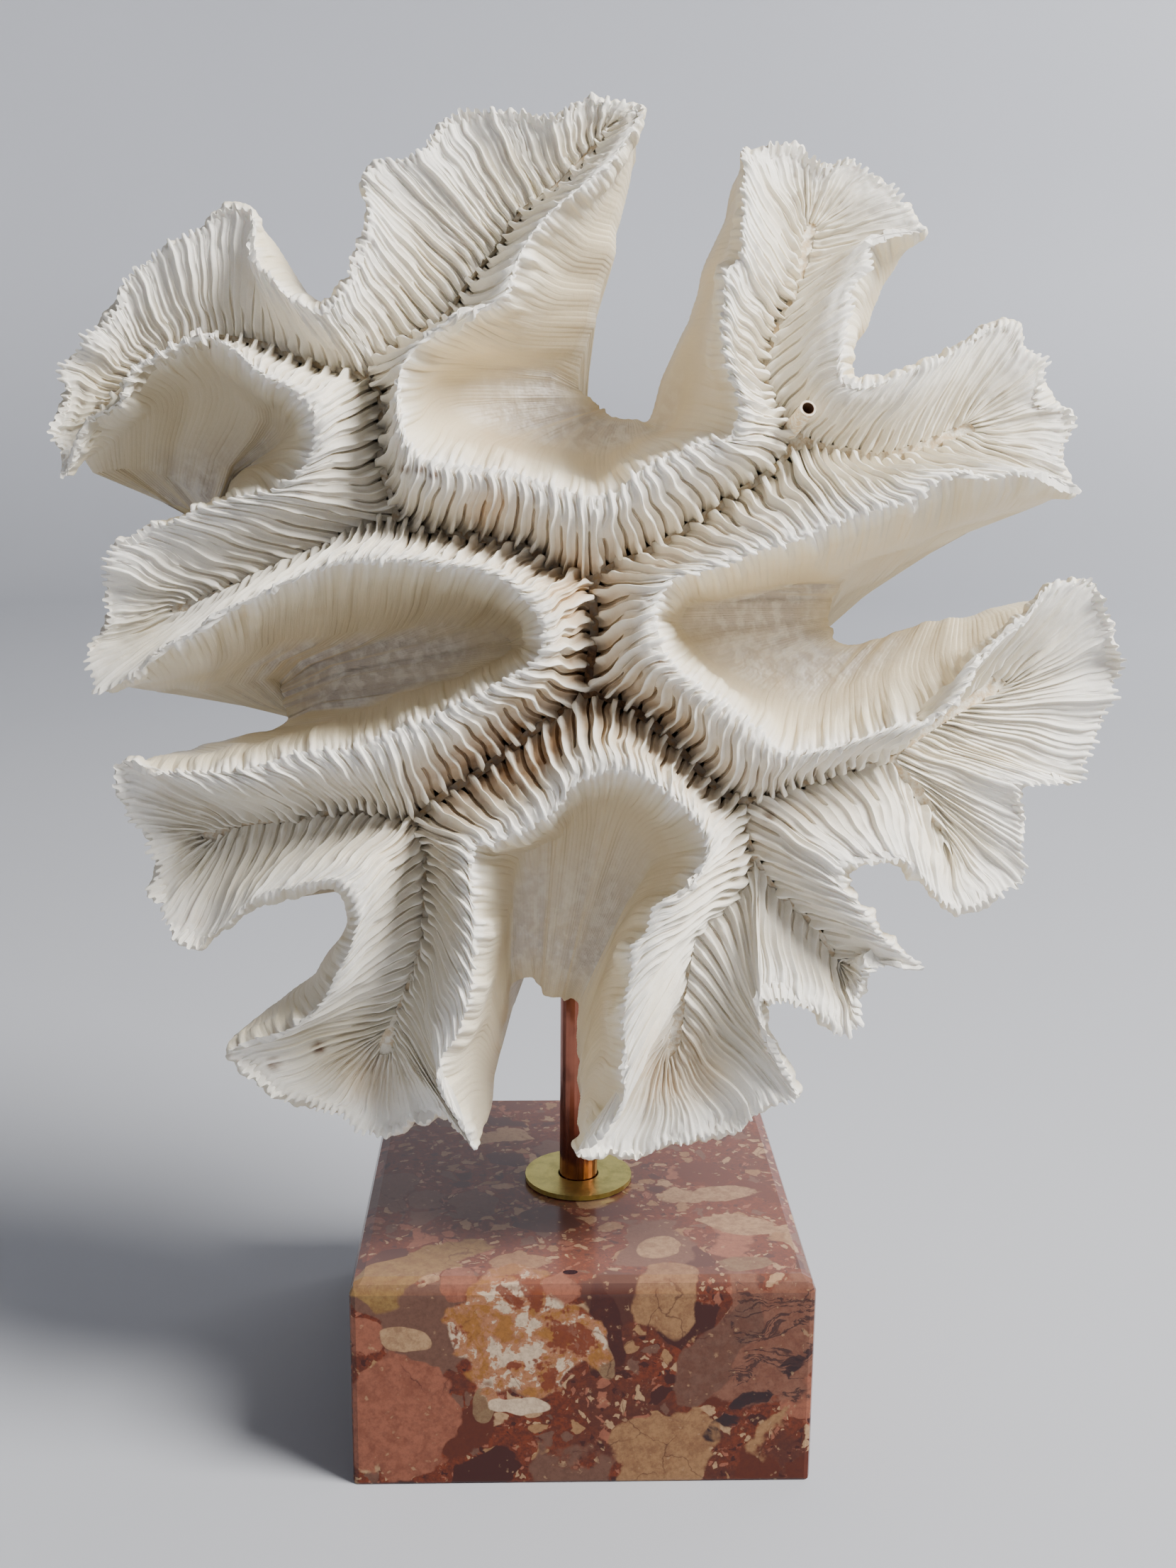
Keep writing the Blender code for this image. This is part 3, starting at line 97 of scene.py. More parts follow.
INSIDE_SHARES = (
    0.0, 0.02, 0.04, 0.065, 0.09, 0.12, 0.15, 0.185, 0.22, 0.26, 0.3, 0.34, 0.38, 0.42, 0.46, 0.5, 0.54,
    0.58, 0.62, 0.66, 0.7, 0.74, 0.78, 0.82, 0.86, 0.89, 0.92, 0.95, 0.975, 1.0,
)
OUTSIDE_SHARES = (
    0.012, 0.03, 0.055, 0.085, 0.12, 0.155, 0.19, 0.23, 0.28, 0.33, 0.39, 0.45, 0.52, 0.6, 0.68, 0.77, 0.86,
    0.93, 1.0,
)
GAP_CENTRE = (
    (0.0, 0.6), (0.08, 1.0), (0.3, 1.4), (0.55, 1.15), (0.7, 0.8), (0.82, 0.5), (0.92, 0.34), (1.0, 0.28),
)
GAP_FAN = ((0.0, 0.55), (0.2, 0.95), (0.5, 0.85), (0.8, 0.62), (0.95, 0.42), (1.0, 0.32))
SKIRT_DEPTH = 1.2
FLOOR_DEPTH = 0.2
OUTER_GAP_SHARE = 0.62
RIB_HEIGHT = 0.3
WAVE_HEIGHT = 0.18
GRAIN_HEIGHT = 0.02
FOOT_SPREAD = 0.13
FOOT_SHARE = 0.86
COLUMNS_EACH = 6
SHARP_ANGLE = radians(50)
SCAR_RINGS = 14
SCAR_STRIDE = 24
PIECES = 6

# Worm tube, as stations of its ends
TUBE_MOUTH = (38.5, 65.7, 0.5)
TUBE_END = (35.2, 61.6, 10.0)
TUBE_BORE = 1.05

# Where the brown valleys meet, and their darkest part, as (across, up, half width, half height)
MEETING = (0, 14, 34, 30)
BROWN_CORE = (-14, 3, 17, 9)
DEEP_GAP = 2.0
FLOOR_BEHIND = 31

# Spots on the coral, as (across, up, radius) on the plane of stations: yellow stains, small dark spots, and
# painted shade on the fans that face away from the light
YELLOW_SPOTS = (
    (-17, 48, 6), (14, -51, 7), (-40, -52, 6), (-3, 36, 5), (-14, 61, 6), (-50, 20, 6), (20, -48, 5),
)
# Painted shade: a warm olive-beige tint where the fans face away from the light
FAN_SHADE_SPOTS = ((-70, -12, 15), (-47, -47, 15), (-80, 24, 11), (-88, 66, 10), (24, -46, 8))
DARK_SPOTS = (
    (-19, 3, 2.4), (-32, 55, 0.9), (-29.5, 55, 0.9), (-27, 54, 0.9), (-55, -49, 1.3), (-47, -46, 1.2),
    (31.5, -5.7, 1.1), (37, 33, 1.2), (-24, -1, 1.4),
)

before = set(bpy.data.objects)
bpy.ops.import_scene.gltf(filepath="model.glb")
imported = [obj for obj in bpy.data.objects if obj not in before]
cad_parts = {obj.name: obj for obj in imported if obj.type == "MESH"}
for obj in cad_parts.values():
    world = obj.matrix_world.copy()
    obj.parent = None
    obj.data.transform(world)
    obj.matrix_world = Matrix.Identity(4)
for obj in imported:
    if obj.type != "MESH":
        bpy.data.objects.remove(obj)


def screen(red, green, blue):
    """A colour in 0 to 255 screen numbers, as the numbers that a shader takes."""
    shares = [value / 255 for value in (red, green, blue)]
    return tuple(v / 12.92 if v < 0.04045 else ((v + 0.055) / 1.055) ** 2.4 for v in shares) + (1.0,)


# Coral colours
CREAM = screen(236, 229, 212)
PALE_CREAM = screen(242, 237, 225)
CREST_WHITE = screen(247, 244, 236)
# Warm beige of the gaps: painted shade deep in the gaps between septa, and also real stain on the stem and
# valley floors
GAP_BEIGE = screen(204, 182, 148)
VALLEY_BROWN = screen(160, 122, 84)
VALLEY_DARK = screen(108, 80, 56)
WALL_CREAM = screen(238, 229, 206)
WALL_SHADE = screen(228, 216, 188)
# Painted shade: the warm, darker tone of the hollows' outer walls
HOLLOW_WARM_SHADE = screen(224, 206, 170)
BAND_SHADE = screen(214, 198, 168)
FLOOR_GREY = screen(202, 195, 192)
FLOOR_WHITE = screen(229, 226, 223)
FLOOR_OCHRE = screen(218, 200, 166)
YELLOW_STAIN = screen(214, 172, 108)
WARM_STAIN = screen(212, 184, 140)
GRAIN_SHADE = screen(190, 174, 148)
# Painted shade on the fans that face away from the light
PAINTED_FAN_SHADE = screen(196, 186, 160)

# Stone colours
RUST = screen(122, 56, 30)
DARK_RUST = screen(94, 43, 26)
PURPLE_BROWN = screen(82, 46, 36)
PINK = screen(156, 100, 78)
BEIGE = screen(162, 128, 90)
PALE_STONE = screen(184, 156, 120)
MAROON = screen(66, 30, 26)
GREY_VIOLET = screen(112, 82, 68)
OLIVE = screen(152, 126, 74)
GREY_BEIGE = screen(140, 118, 88)
PINK_GREY = screen(134, 94, 76)
VEIN_BLACK = screen(48, 32, 36)
CRYSTAL_WHITE = screen(218, 202, 176)
CRYSTAL_TAN = screen(176, 126, 92)
CRYSTAL_OCHRE = screen(160, 112, 54)
STONE_DEPTH = (0.74, 0.66, 0.62, 1.0)
# Painted sheen: the block's top face is lightened where it catches the light
TOP_PAINTED_SHEEN = screen(146, 118, 110)
SHEEN_HEIGHTS = (0.0385, 0.0425)

# Larger pieces of stone in the block: colour, middle and half sizes in millimetres, turn in degrees
STONE_PATCHES = (
    (PINK, (-37, -44, 13), (13, 9, 11), (0, 0, 0)),
    (PINK, (-33, -44, 22), (9, 7, 5), (0, 10, 0)),
    (PALE_STONE, (-33, -44, 30.5), (5, 4, 2.2), (0, 8, 0)),
    (BEIGE, (16, -44, 39), (6.5, 6, 7.5), (0, 12, 0)),
    (MAROON, (4, -44, 34), (2.8, 5, 8), (0, -14, 0)),
    (GREY_BEIGE, (3, -44, 28), (1.8, 4, 5.5), (0, -20, 0)),
    (PINK_GREY, (36, -44, 30), (12, 9, 15), (0, 20, 0)),
    (GREY_VIOLET, (25, -44, 27), (4.5, 6, 13), (0, 36, 0)),
    (BEIGE, (15, -44, 8.5), (10.5, 6, 6), (0, -18, 0)),
    (GREY_BEIGE, (-19, -44, 17), (2, 3, 3.8), (0, 0, 0)),
    (OLIVE, (-32, -37, 42), (15, 5, 6), (0, 0, 30)),
    (PINK, (-24, -42, 41), (4, 4, 3), (0, 0, 0)),
    (BEIGE, (-12, -36, 42), (7, 2.6, 4), (0, 0, 0)),
    (PALE_STONE, (15, -30, 42), (5, 3.6, 4), (0, 0, 35)),
    (PALE_STONE, (28, -8, 42), (9, 3.4, 4), (0, 0, 10)),
    (PALE_STONE, (33, -21, 42), (8, 4, 4), (0, 0, -12)),
    (GREY_BEIGE, (32, -37, 42), (6, 3, 4), (0, 0, 0)),
    (GREY_VIOLET, (-21, -12, 42), (5, 6, 4), (0, 0, -20)),
    (MAROON, (-6, -20, 42), (6, 6, 4), (0, 0, 0)),
)
CRYSTAL_PATCH = ((-11, -44, 31), (14, 8, 13), (0, -12, 0))
CRYSTAL_EDGE = ((-11.5, -44, 16.5), (5.8, 4, 2.0), (0, 4, 0))
VEINED_PATCH = ((37, -44, 30), (9, 8, 14), (0, 0, 0))
TOP_PIT = ((-2.5, -40.3, 42.4), (1.4, 0.9, 1.0), (0, 0, 0))
VEIN_TILT = radians(28)
VEIN_SCALE = (70.0, 70.0, 240.0)
DARK_BAND = ((33, -44, 18), (12, 6, 2.6), (0, -44, 0))

# Random small pieces of stone, by size: scale, share that shows, gap between them, colours and seed
CLAST_SIZES = (
    (800.0, 0.24, 0.08, (PALE_STONE, PINK, MAROON), 0.11),
    (300.0, 0.34, 0.07, (PALE_STONE, PINK, BEIGE, MAROON, GREY_VIOLET), 0.37),
    (105.0, 0.26, 0.04, (PINK, DARK_RUST, GREY_VIOLET, PALE_STONE, MAROON), 0.53),
    (48.0, 0.22, 0.03, (PINK, PURPLE_BROWN, GREY_VIOLET, BEIGE), 0.29),
)

# Light under the coral's surface: its share, and its reach in metres
CORAL_SUBSURFACE = 0.1
SUBSURFACE_REACH = 0.002

# Metal colours
COPPER = screen(156, 98, 80)
COPPER_FILM = screen(102, 62, 52)
BRASS = screen(214, 200, 116)
BRASS_FILM = screen(158, 146, 76)

# Studio, in metres
BACKDROP = screen(200, 202, 209)
BACKDROP_SHADE = screen(195, 197, 204)
# Painted shade: the floor is darker than the wall
GROUND = screen(176, 178, 184)
GROUND_SHADE = screen(171, 173, 179)
FLOOR_RADIUS = 1.5
BEND_RADIUS = 0.5
BEND_STEPS = 12
WALL_TOP = 2.0
STAGE_SIDES = 96

# Round soft lights: name, place, size in metres, power in watts, tint and the point that each faces
LIGHTS = (
    ("key_light", (0.76, -0.38, 0.96), 0.55, 40.0, (1.0, 0.98, 0.95), (0.0, 0.0, 0.12)),
    ("fill_light", (-0.9, -1.1, 0.8), 1.2, 0.4, (0.95, 0.97, 1.0), (0.0, 0.0, 0.12)),
    ("top_light", (0.1, 0.3, 1.4), 0.9, 1.2, (1.0, 1.0, 1.0), (0.0, 0.0, 0.12)),
    ("backdrop_light", (1.3, 0.8, 1.0), 0.8, 28.0, (1.0, 1.0, 1.0), (0.8, 2.0, 0.6)),
)
WORLD_TINT = (0.9, 0.94, 1.0, 1.0)
WORLD_STRENGTH = 0.07


def stretch(name, groove, lift, drop, fan, rim, foot, back):
    """One stretch of the coral's closed rim. groove: the valley floor that it faces. lift and drop: how far
    the rim and the groove lie behind the dome, at even steps. fan: 0 for a steep wall, 1 for an open fan.
    rim: stations along the crest. foot and back: the outer wall half way and at its widest, as (across, up,
    behind). The last three end where the next stretch starts."""
    return dict(name=name, groove=groove, lift=lift, drop=drop, fan=fan, rim=rim, foot=foot, back=back)


# Groove lines shared by the two sides of a valley
TOP_MIDDLE = [(1, 35.5), (-5.5, 37.5), (-10, 41), (-14, 42), (-22, 43.5), (-27, 44), (-33.5, 46.5)]
TOP_RIGHT = [(1, 35.5), (4, 38.5), (9, 39.7), (13, 42), (20, 46.5), (27, 51.4), (33, 55.3), (35.7, 58.8)]
MIDDLE = [(0, 16), (0.5, 21), (1, 25), (1.2, 30), (0.5, 32), (1, 35.5)]
LOW_LEFT = [(0, 16), (-7, 11), (-13, 6.5), (-19, 2), (-26, -2.5), (-30.5, -6.5)]
LOW_RIGHT = [(0, 16), (6, 14), (13, 9), (19, 3), (25, -2.5), (27.5, -3)]
UP_LEFT = [(-33.5, 46.5), (-35, 52), (-36.5, 58), (-36, 62), (-36.5, 68.5), (-39.5, 71.5)]
TO_TOP = [(-39.5, 71.5), (-33, 77), (-26, 81), (-20.5, 88.5), (-15, 95), (-12, 100), (-6.5, 104), (3, 114)]
TO_UPPER_LEFT = [
    (-39.5, 71.5), (-44, 72.3), (-51, 74.5), (-59, 77.7), (-67, 78.3), (-74, 75.5), (-82, 69), (-88, 60),
]
TO_LEFT = [(-33.5, 46.5), (-40, 45), (-46.5, 41.3), (-54, 38.5), (-58, 36.3), (-66, 33), (-71.5, 31)]
TO_LOWER_LEFT = [(-30.5, -6.5), (-35, -5.5), (-45, -5), (-50, -6), (-60, -7), (-66.5, -8.5)]
TO_BOTTOM_LEFT = [(-30.5, -6.5), (-28.5, -11), (-28.5, -24), (-31, -34), (-33.5, -40), (-36, -46)]
TO_BRANCH = [(27.5, -3), (27, -7), (29, -12.5)]
TO_BOTTOM_RIGHT = [(29, -12.5), (28, -17), (23, -22), (19.5, -25), (17.5, -33), (15, -41), (14.5, -46)]
TO_LOW_SPUR = [(29, -12.5), (31.5, -17), (35.5, -21), (39, -24), (43, -30)]
TO_RIGHT = [(27.5, -3), (36, -0.5), (45, 2.5), (52, 4.5)]
TO_RIGHT_SPUR = [(52, 4.5), (56, 0), (59, -4), (62.5, -9)]
TO_UPPER_RIGHT = [(35.7, 58.8), (45, 57.5), (51, 56.4), (58, 58.3), (64, 60.5), (67, 62)]
TO_TOP_RIGHT = [(35.7, 58.8), (32, 68), (31, 72), (33, 79.5), (36.5, 86.7), (39, 94)]


def back_along(line):
    return line[::-1]


STRETCHES = [
    stretch(
        "top_left_fan", back_along(TO_TOP)[:5], (-1, 3, 5, 5), (4, 8, 10), 0.8,
        [(9, 118), (5, 119), (0, 120), (-5, 117.5), (-11, 116.5), (-17, 117.5), (-24, 115.5), (-27, 111.5),
        (-32, 110), (-37, 109)],
        [(8.5, 113, 14), (-4, 111, 19), (-18, 109, 22), (-30, 104, 22)],
        [(8.3, 109, 22), (-2, 103, 31), (-14, 99, 34), (-26, 93, 35)],
    ),
    stretch(
        "top_left_side", back_along(TO_TOP)[4:], (5, 3, 2, 1), (10, 12, 12), 0.5,
        [(-39.5, 106.5), (-38.5, 101), (-39.5, 96), (-40.5, 92), (-42, 88), (-44, 86), (-46, 84)],
        [(-35, 99, 22), (-36, 92, 24), (-39, 86, 25)],
        [(-32, 90, 35), (-34, 84, 37), (-37, 78, 38)],
    ),
    stretch(
        "upper_left_inner_side", TO_UPPER_LEFT[:4], (1, 3, 5), (12, 12, 12), 0.6,
        [(-47.7, 83.5), (-49.5, 84), (-53, 85.5), (-55, 88), (-58, 91), (-59, 95)],
        [(-43, 82, 25), (-47, 84, 24), (-51, 88.3, 22)],
        [(-40, 76, 38), (-43, 77, 37), (-47, 80, 35)],
    ),
    stretch(
        "upper_left_fan", TO_UPPER_LEFT[3:], (5, 7, 7, 6, 0), (12, 13, 12, 5), 0.9,
        [(-58.5, 99), (-60.5, 100.5), (-63.5, 100), (-67, 97.5), (-70, 95), (-74, 93.5), (-77, 90),
        (-80, 87), (-83.5, 83), (-86, 79), (-88, 75.5), (-91.5, 73), (-91.5, 69), (-92, 65), (-93.4, 61.5),
        (-91.5, 58)],
        [(-57, 97, 21), (-66, 95, 26), (-76, 86, 28), (-83, 76, 28), (-87, 66, 26)],
        [(-51, 84, 33), (-58, 85, 38), (-66, 80, 40), (-72, 72, 40), (-77, 64, 37)],
    ),
    stretch(
        "upper_left_front_crest", back_along(TO_UPPER_LEFT)[:5], (0, -4, -6, -5, -3), (5, 9, 12), 0.1,
        [(-91.5, 54), (-90.4, 57), (-89.5, 60), (-88, 63), (-84, 65), (-81.5, 67), (-81, 69.5), (-80, 72),
        (-77, 74), (-74, 76), (-70, 77.5), (-67, 78.5), (-64, 77)],
        [(-88.5, 57, 20), (-83, 60, 21), (-77, 64, 24), (-70, 67, 28), (-63, 67, 30)],
        [(-86.5, 54.5, 27), (-82, 55, 30), (-77, 55, 34), (-72, 53, 37), (-68, 51, 38)],
    ),
    stretch(
        "left_hollow_end", back_along(TO_UPPER_LEFT)[4:] + back_along(UP_LEFT)[1:5], (-3, -2, 0, 1),
        (12, 13, 13), 0.0,
        [(-61.5, 75), (-59, 72.5), (-56, 70.5), (-52.5, 68.7), (-50, 66.3), (-48.5, 63.5), (-48, 60.5),
        (-48.5, 58), (-50.3, 55), (-51.7, 53.6)],
        [(-58, 64, 31), (-55.5, 63, 32), (-54, 60, 33), (-56, 57, 33)],
        [(-65, 49.6, 38.5), (-64.6, 49.4, 39), (-64, 49, 39.5)],
    ),
    stretch(
        "left_upper_crest", back_along(UP_LEFT)[4:] + TO_LEFT[1:6], (1, 1, 1, 0), (13, 12, 10), 0.3,
        [(-55, 51.2), (-60, 50.6), (-64, 49.4), (-68, 48), (-72, 46.2), (-77, 44.5), (-80, 42.8)],
        [(-59, 55, 33), (-62, 50, 32), (-68, 46.4, 27), (-74, 43, 23)],
        [(-63.3, 48.6, 40), (-65, 44, 39), (-68, 40, 37)],
    ),
    stretch(
        "left_fan", [(-66, 33), (-70.5, 31.7), (-73, 30.6), (-71.5, 29.8), (-67, 31.8)], (0, 3, 3, -1),
        (10, 9, 10), 0.9,
        [(-83, 41), (-83.5, 35), (-83, 31), (-83.5, 28.5), (-86.3, 24.7), (-87, 22.6), (-84.6, 20)],
        [(-80, 40, 19), (-80, 34, 22), (-79.5, 28, 23), (-81, 22, 22)],
        [(-73, 37, 34), (-70, 33, 38), (-69, 28, 39), (-72, 22, 36)],
    ),
    stretch(
        "left_lower_crest", back_along(TO_LEFT)[1:], (-1, -2, -2, -1), (10, 12, 13), 0.2,
        [(-85, 16.4), (-81.5, 18.1), (-78.2, 20.2), (-76.3, 22.4), (-72.3, 24.8), (-68.3, 26.6), (-66, 29),
        (-62, 30.9), (-58.3, 32.3), (-55, 34.3), (-51, 35.7), (-47.5, 37.2), (-43, 38.5)],
        [(-82, 17, 18), (-76, 18, 23), (-68, 20, 27), (-60, 23, 31), (-50, 25.5, 34)],
        [(-77, 16.6, 30), (-69, 16.4, 34), (-61, 17.4, 37), (-55, 18.3, 39)],
    ),
    stretch(
        "centre_left_upper_crest", back_along(TOP_MIDDLE), (-1, 0, 0), (13, 14, 14), 0.0,
        [(-38, 38.6), (-32, 38.7), (-26, 38), (-20, 37.2), (-15, 35.3), (-12, 33)],
        [(-40, 26.5, 35), (-30, 27.5, 35), (-20, 27.5, 34)],
        [(-53.7, 17.6, 41), (-53.6, 16.8, 41.5)],
    ),
    stretch(
        "centre_left_end", back_along(MIDDLE), (0, 0, 0), (14, 14, 14), 0.0,
        [(-9.6, 30.1), (-8.4, 27.2), (-8.4, 24), (-9.8, 21.3)],
        [(-14.5, 25.8, 34), (-13.3, 24.5, 34)],
        [(-53.5, 16, 41.5), (-53.3, 15.2, 41.5)],
    ),
    stretch(
        "centre_left_lower_crest", LOW_LEFT, (0, 0, 0), (14, 14, 14), 0.0,
        [(-12.7, 19.5), (-17, 17), (-21, 15), (-25, 13), (-29, 11), (-33, 10)],
        [(-14.5, 22.8, 34), (-20, 20, 34), (-28, 17, 35)],
        [(-53.1, 14.4, 41.5), (-52.8, 13.4, 41.3), (-52.4, 12.2, 41)],
    ),
    stretch(
        "lower_left_upper_crest", TO_LOWER_LEFT[:5], (0, -1, -2, -2), (14, 13, 10), 0.1,
        [(-36, 8.5), (-40, 6.8), (-46, 6), (-52, 5), (-57, 3.5), (-62, 2.2), (-68, 2), (-75, 1.8)],
        [(-36, 14.5, 36), (-46, 11, 33), (-56, 8.2, 28), (-66, 5.8, 23)],
        [(-52, 11.2, 40.5), (-55, 9.4, 38), (-62, 7.9, 36), (-69, 6, 33)],
    ),
    stretch(
        "lower_left_fan", [(-60, -7), (-64, -8), (-67.5, -8.8), (-66, -9.8), (-60, -8.6)], (-2, 2, 3, 1),
        (10, 9, 10), 0.9,
        [(-80, 3.2), (-81.7, 0.2), (-81.4, -2.1), (-80.3, -5), (-78.3, -7.6), (-76.5, -9), (-75.1, -12.5),
        (-75.4, -16.5), (-74.2, -21.2), (-73.4, -24), (-71.3, -26.4)],
        [(-77, 4, 18), (-77, -1, 22), (-73, -8, 26), (-71, -16, 26)],
        [(-75, 4.2, 28), (-68, 0, 37), (-62, -6, 40), (-59, -13, 40)],
    ),
    stretch(
        "lower_left_lower_crest", back_along(TO_LOWER_LEFT)[1:], (1, 1, 1, 0), (10, 12, 13), 0.5,
        [(-69, -27.6), (-66.2, -26.4), (-62.7, -24), (-59.2, -20.6), (-55, -19), (-52, -18.4),
        (-48.8, -17.5), (-46, -17.2)],
        [(-67, -25, 23), (-61, -22.5, 26), (-53, -19.5, 28), (-46, -17.2, 29)],
        [(-58, -20, 36), (-53, -17.5, 39), (-47, -15.5, 41)],
    ),
    stretch(
        "bottom_left_outer_side", TO_BOTTOM_LEFT[:5], (0, 0, -1, -1, 0), (13, 13, 10), 0.4,
        [(-43.2, -17.9), (-41.4, -20.3), (-40.5, -23.5), (-41.7, -28.6), (-43.6, -32.6), (-45.5, -37),
        (-50.6, -42), (-56, -44.6)],
        [(-42.5, -18, 29), (-41.5, -23.5, 29), (-45, -29.6, 28), (-51.5, -36.5, 27)],
        [(-41, -15, 41), (-37.5, -19, 43), (-38, -26, 42), (-42, -31, 40)],
    ),
    stretch(
        "bottom_left_fan", [(-33.5, -40), (-36, -44.5), (-36.5, -47), (-34.8, -47), (-32.6, -41)],
        (0, 3, 3, 2, -1), (10, 9, 10), 0.9,
        [(-62.4, -46.5), (-58.7, -50.5), (-54.6, -53.8), (-47.3, -56.5), (-41.2, -58.2), (-37.2, -61.2),
        (-32.5, -60.2), (-30.5, -58.3), (-24.7, -58.2), (-22.6, -60.3)],
        [(-59.5, -43.5, 25), (-54, -50, 28), (-44, -54, 31), (-34, -56, 32), (-25, -55.5, 31)],
        [(-47, -37, 37), (-43, -42, 42), (-36, -45, 44), (-28, -47, 44), (-21, -51, 41)],
    ),
    stretch(
        "bottom_left_inner_side", back_along(TO_BOTTOM_LEFT)[1:], (-1, -3, -4, -3, -1), (10, 13, 14), 0.1,
        [(-19.8, -64.2), (-22.5, -59), (-25, -55), (-26.3, -51), (-25.6, -48), (-22.8, -43.5), (-20.8, -38),
        (-19.9, -31), (-19.6, -25), (-19.9, -18.5)],
        [(-18.5, -60.5, 27), (-19.5, -51, 27), (-17.5, -41, 29), (-15.5, -30, 31), (-14, -20, 33)],
        [(-17.2, -57, 34), (-16.2, -50, 37), (-14.5, -42, 39), (-13, -34.5, 40), (-11.5, -34, 40)],
    ),
    stretch(
        "bottom_hollow_left_crest", back_along(LOW_LEFT), (-1, 0, 0), (14, 14, 14), 0.0,
        [(-19.8, -11.6), (-16, -10.3), (-10, -7.4), (-5.5, -4.4), (-3, -0.8)],
        [(-12, -13, 33), (-8, -11, 33), (-3, -8, 32)],
        [(-10, -33.8, 40), (-8.5, -35.5, 40), (-7, -37, 40)],
    ),
    stretch(
        "bottom_hollow_right_crest", LOW_RIGHT, (0, 0, 0), (14, 14, 14), 0.0,
        [(1.2, 1.6), (4.7, 2.2), (9.4, 0.7), (13.6, -2), (17.2, -5), (20.1, -9)],
        [(1, -7, 32), (4, -8, 32), (8, -11, 33)],
        [(-5, -37.5, 40), (-3.8, -37.6, 40), (-2.8, -37.7, 40)],
    ),
    stretch(
        "bottom_right_inner_side", TO_BRANCH + TO_BOTTOM_RIGHT[1:6], (0, -2, -4, -4, -1), (13, 12, 9), 0.2,
        [(20.7, -12), (19.5, -15), (17.2, -18.5), (11.8, -21.5), (10, -26.3), (7.7, -28.6), (7.1, -33.3),
        (6.2, -39.3), (6.5, -46.4), (5.9, -56)],
        [(11, -14, 33), (8, -20, 33), (4.5, -28, 32), (2.5, -37, 30), (1.5, -48, 28), (0, -57, 26)],
        [(-2, -38, 40), (-1.9, -42, 40), (-1.8, -48, 39), (-1.8, -54, 36)],
    ),
    stretch(
        "bottom_right_fan", [(15, -41), (13.8, -45), (14.3, -47.5), (15.6, -46), (16.2, -41)],
        (-1, 3, 3, 2, 0), (9, 9, 9), 0.9,
        [(-1.5, -65), (1.4, -64.4), (9.6, -64.1), (13.7, -63.3), (17.8, -62.3), (24.7, -60.3),
        (30.1, -56.9), (32.2, -55.5)],
        [(-1.2, -62, 24), (6, -61, 29), (15, -59.5, 31), (24, -56.5, 31), (31, -52.5, 29)],
        [(-1.6, -60, 31), (4, -55, 40), (12, -50, 44), (20, -47, 44)],
    ),
    stretch(
        "bottom_right_outer_side", back_along(TO_BOTTOM_RIGHT)[2:], (0, 0, 0), (9, 11, 12), 0.6,
        [(36.4, -54.8), (33.7, -49), (31.3, -43.5), (29.6, -39.5)],
        [(34.5, -51, 26), (32, -45, 28), (30.3, -39.5, 29)],
        [(26, -43.5, 40), (26.5, -38, 41), (27, -33, 41)],
    ),
    stretch(
        "low_spur_lower_side", TO_LOW_SPUR, (0, 0, 0), (12, 11, 8), 0.7,
        [(29.5, -36.9), (31.4, -36.2), (34.6, -35.9), (36.8, -37.1), (39.5, -39.2), (41.9, -41.3)],
        [(29.8, -36, 29), (34, -35, 28), (38.5, -36.5, 27)],
        [(27.5, -29, 41), (30.5, -28.5, 41), (33.5, -29, 40)],
    ),
    stretch(
        "low_spur_edge", [(43, -30), (43.8, -31.2), (44, -30)], (0, 2, 2, 0), (8, 8, 8), 0.9,
        [(44.4, -43.3), (46.2, -42.2), (47.1, -37.4), (49, -33.7), (49.6, -30.5), (52.6, -30.7)],
        [(43, -41, 24), (45, -36, 26), (47, -31, 26)],
        [(36.5, -31, 38), (38, -28.5, 39), (40, -26.5, 39)],
    ),
    stretch(
        "low_spur_upper_side", back_along(TO_LOW_SPUR)[:4] + back_along(TO_BRANCH), (0, -1, -1, 0),
        (8, 11, 12), 0.4,
        [(56.9, -31.3), (53, -28), (50, -24.5), (47, -20.5), (44.4, -17.3)],
        [(53, -30, 24), (49, -25.5, 26), (45.5, -19.8, 28)],
        [(42.5, -25.5, 38), (42, -21, 39), (41.5, -16, 40)],
    ),
    stretch(
        "right_spur_lower_side", TO_RIGHT + TO_RIGHT_SPUR[1:], (0, 0, 0), (12, 12, 9), 0.6,
        [(44.8, -15), (46.5, -13.9), (49, -12.7), (52, -12.7), (55.6, -13.9), (58.1, -16.1), (60.5, -19.1)],
        [(44.5, -15.3, 29), (48.5, -12.6, 28), (55, -13.3, 27), (60.3, -17.5, 25)],
        [(41.5, -12, 40), (45, -10, 40), (50, -9, 39)],
    ),
    stretch(
        "right_spur_edge", [(62.5, -9), (61.5, -7.3), (57.2, 0.6), (53.6, 4.2), (58, 8)], (0, 2, 3, 3),
        (9, 10, 11), 0.9,
        [(64.4, -22), (69, -21.2), (72.7, -18.2), (75.7, -13.6), (75.4, -7.5), (74.5, -3.3), (75.2, -0.2)],
        [(63.5, -20.5, 23), (69, -16, 25), (72, -9, 26), (71.5, -2, 26)],
        [(54, -11.5, 36), (59, -7, 39), (61.5, -2, 40)],
    ),
    stretch(
        "right_fan", [(58, 8), (62, 10.7), (66, 13.2), (73, 17.6), (71, 18.4)], (3, 4, 3, -1), (11, 10, 10),
        0.9,
        [(78.8, 0.1), (85, 0.7), (87.7, 5.5), (90.5, 13.8), (91.4, 21.9), (90.5, 28.8)],
        [(75.5, 1.5, 25), (81, 4.5, 24), (85, 13, 24), (86, 22, 23)],
        [(64, 2.5, 40), (69, 7, 39), (72, 14, 38), (74, 22, 36)],
    ),
    stretch(
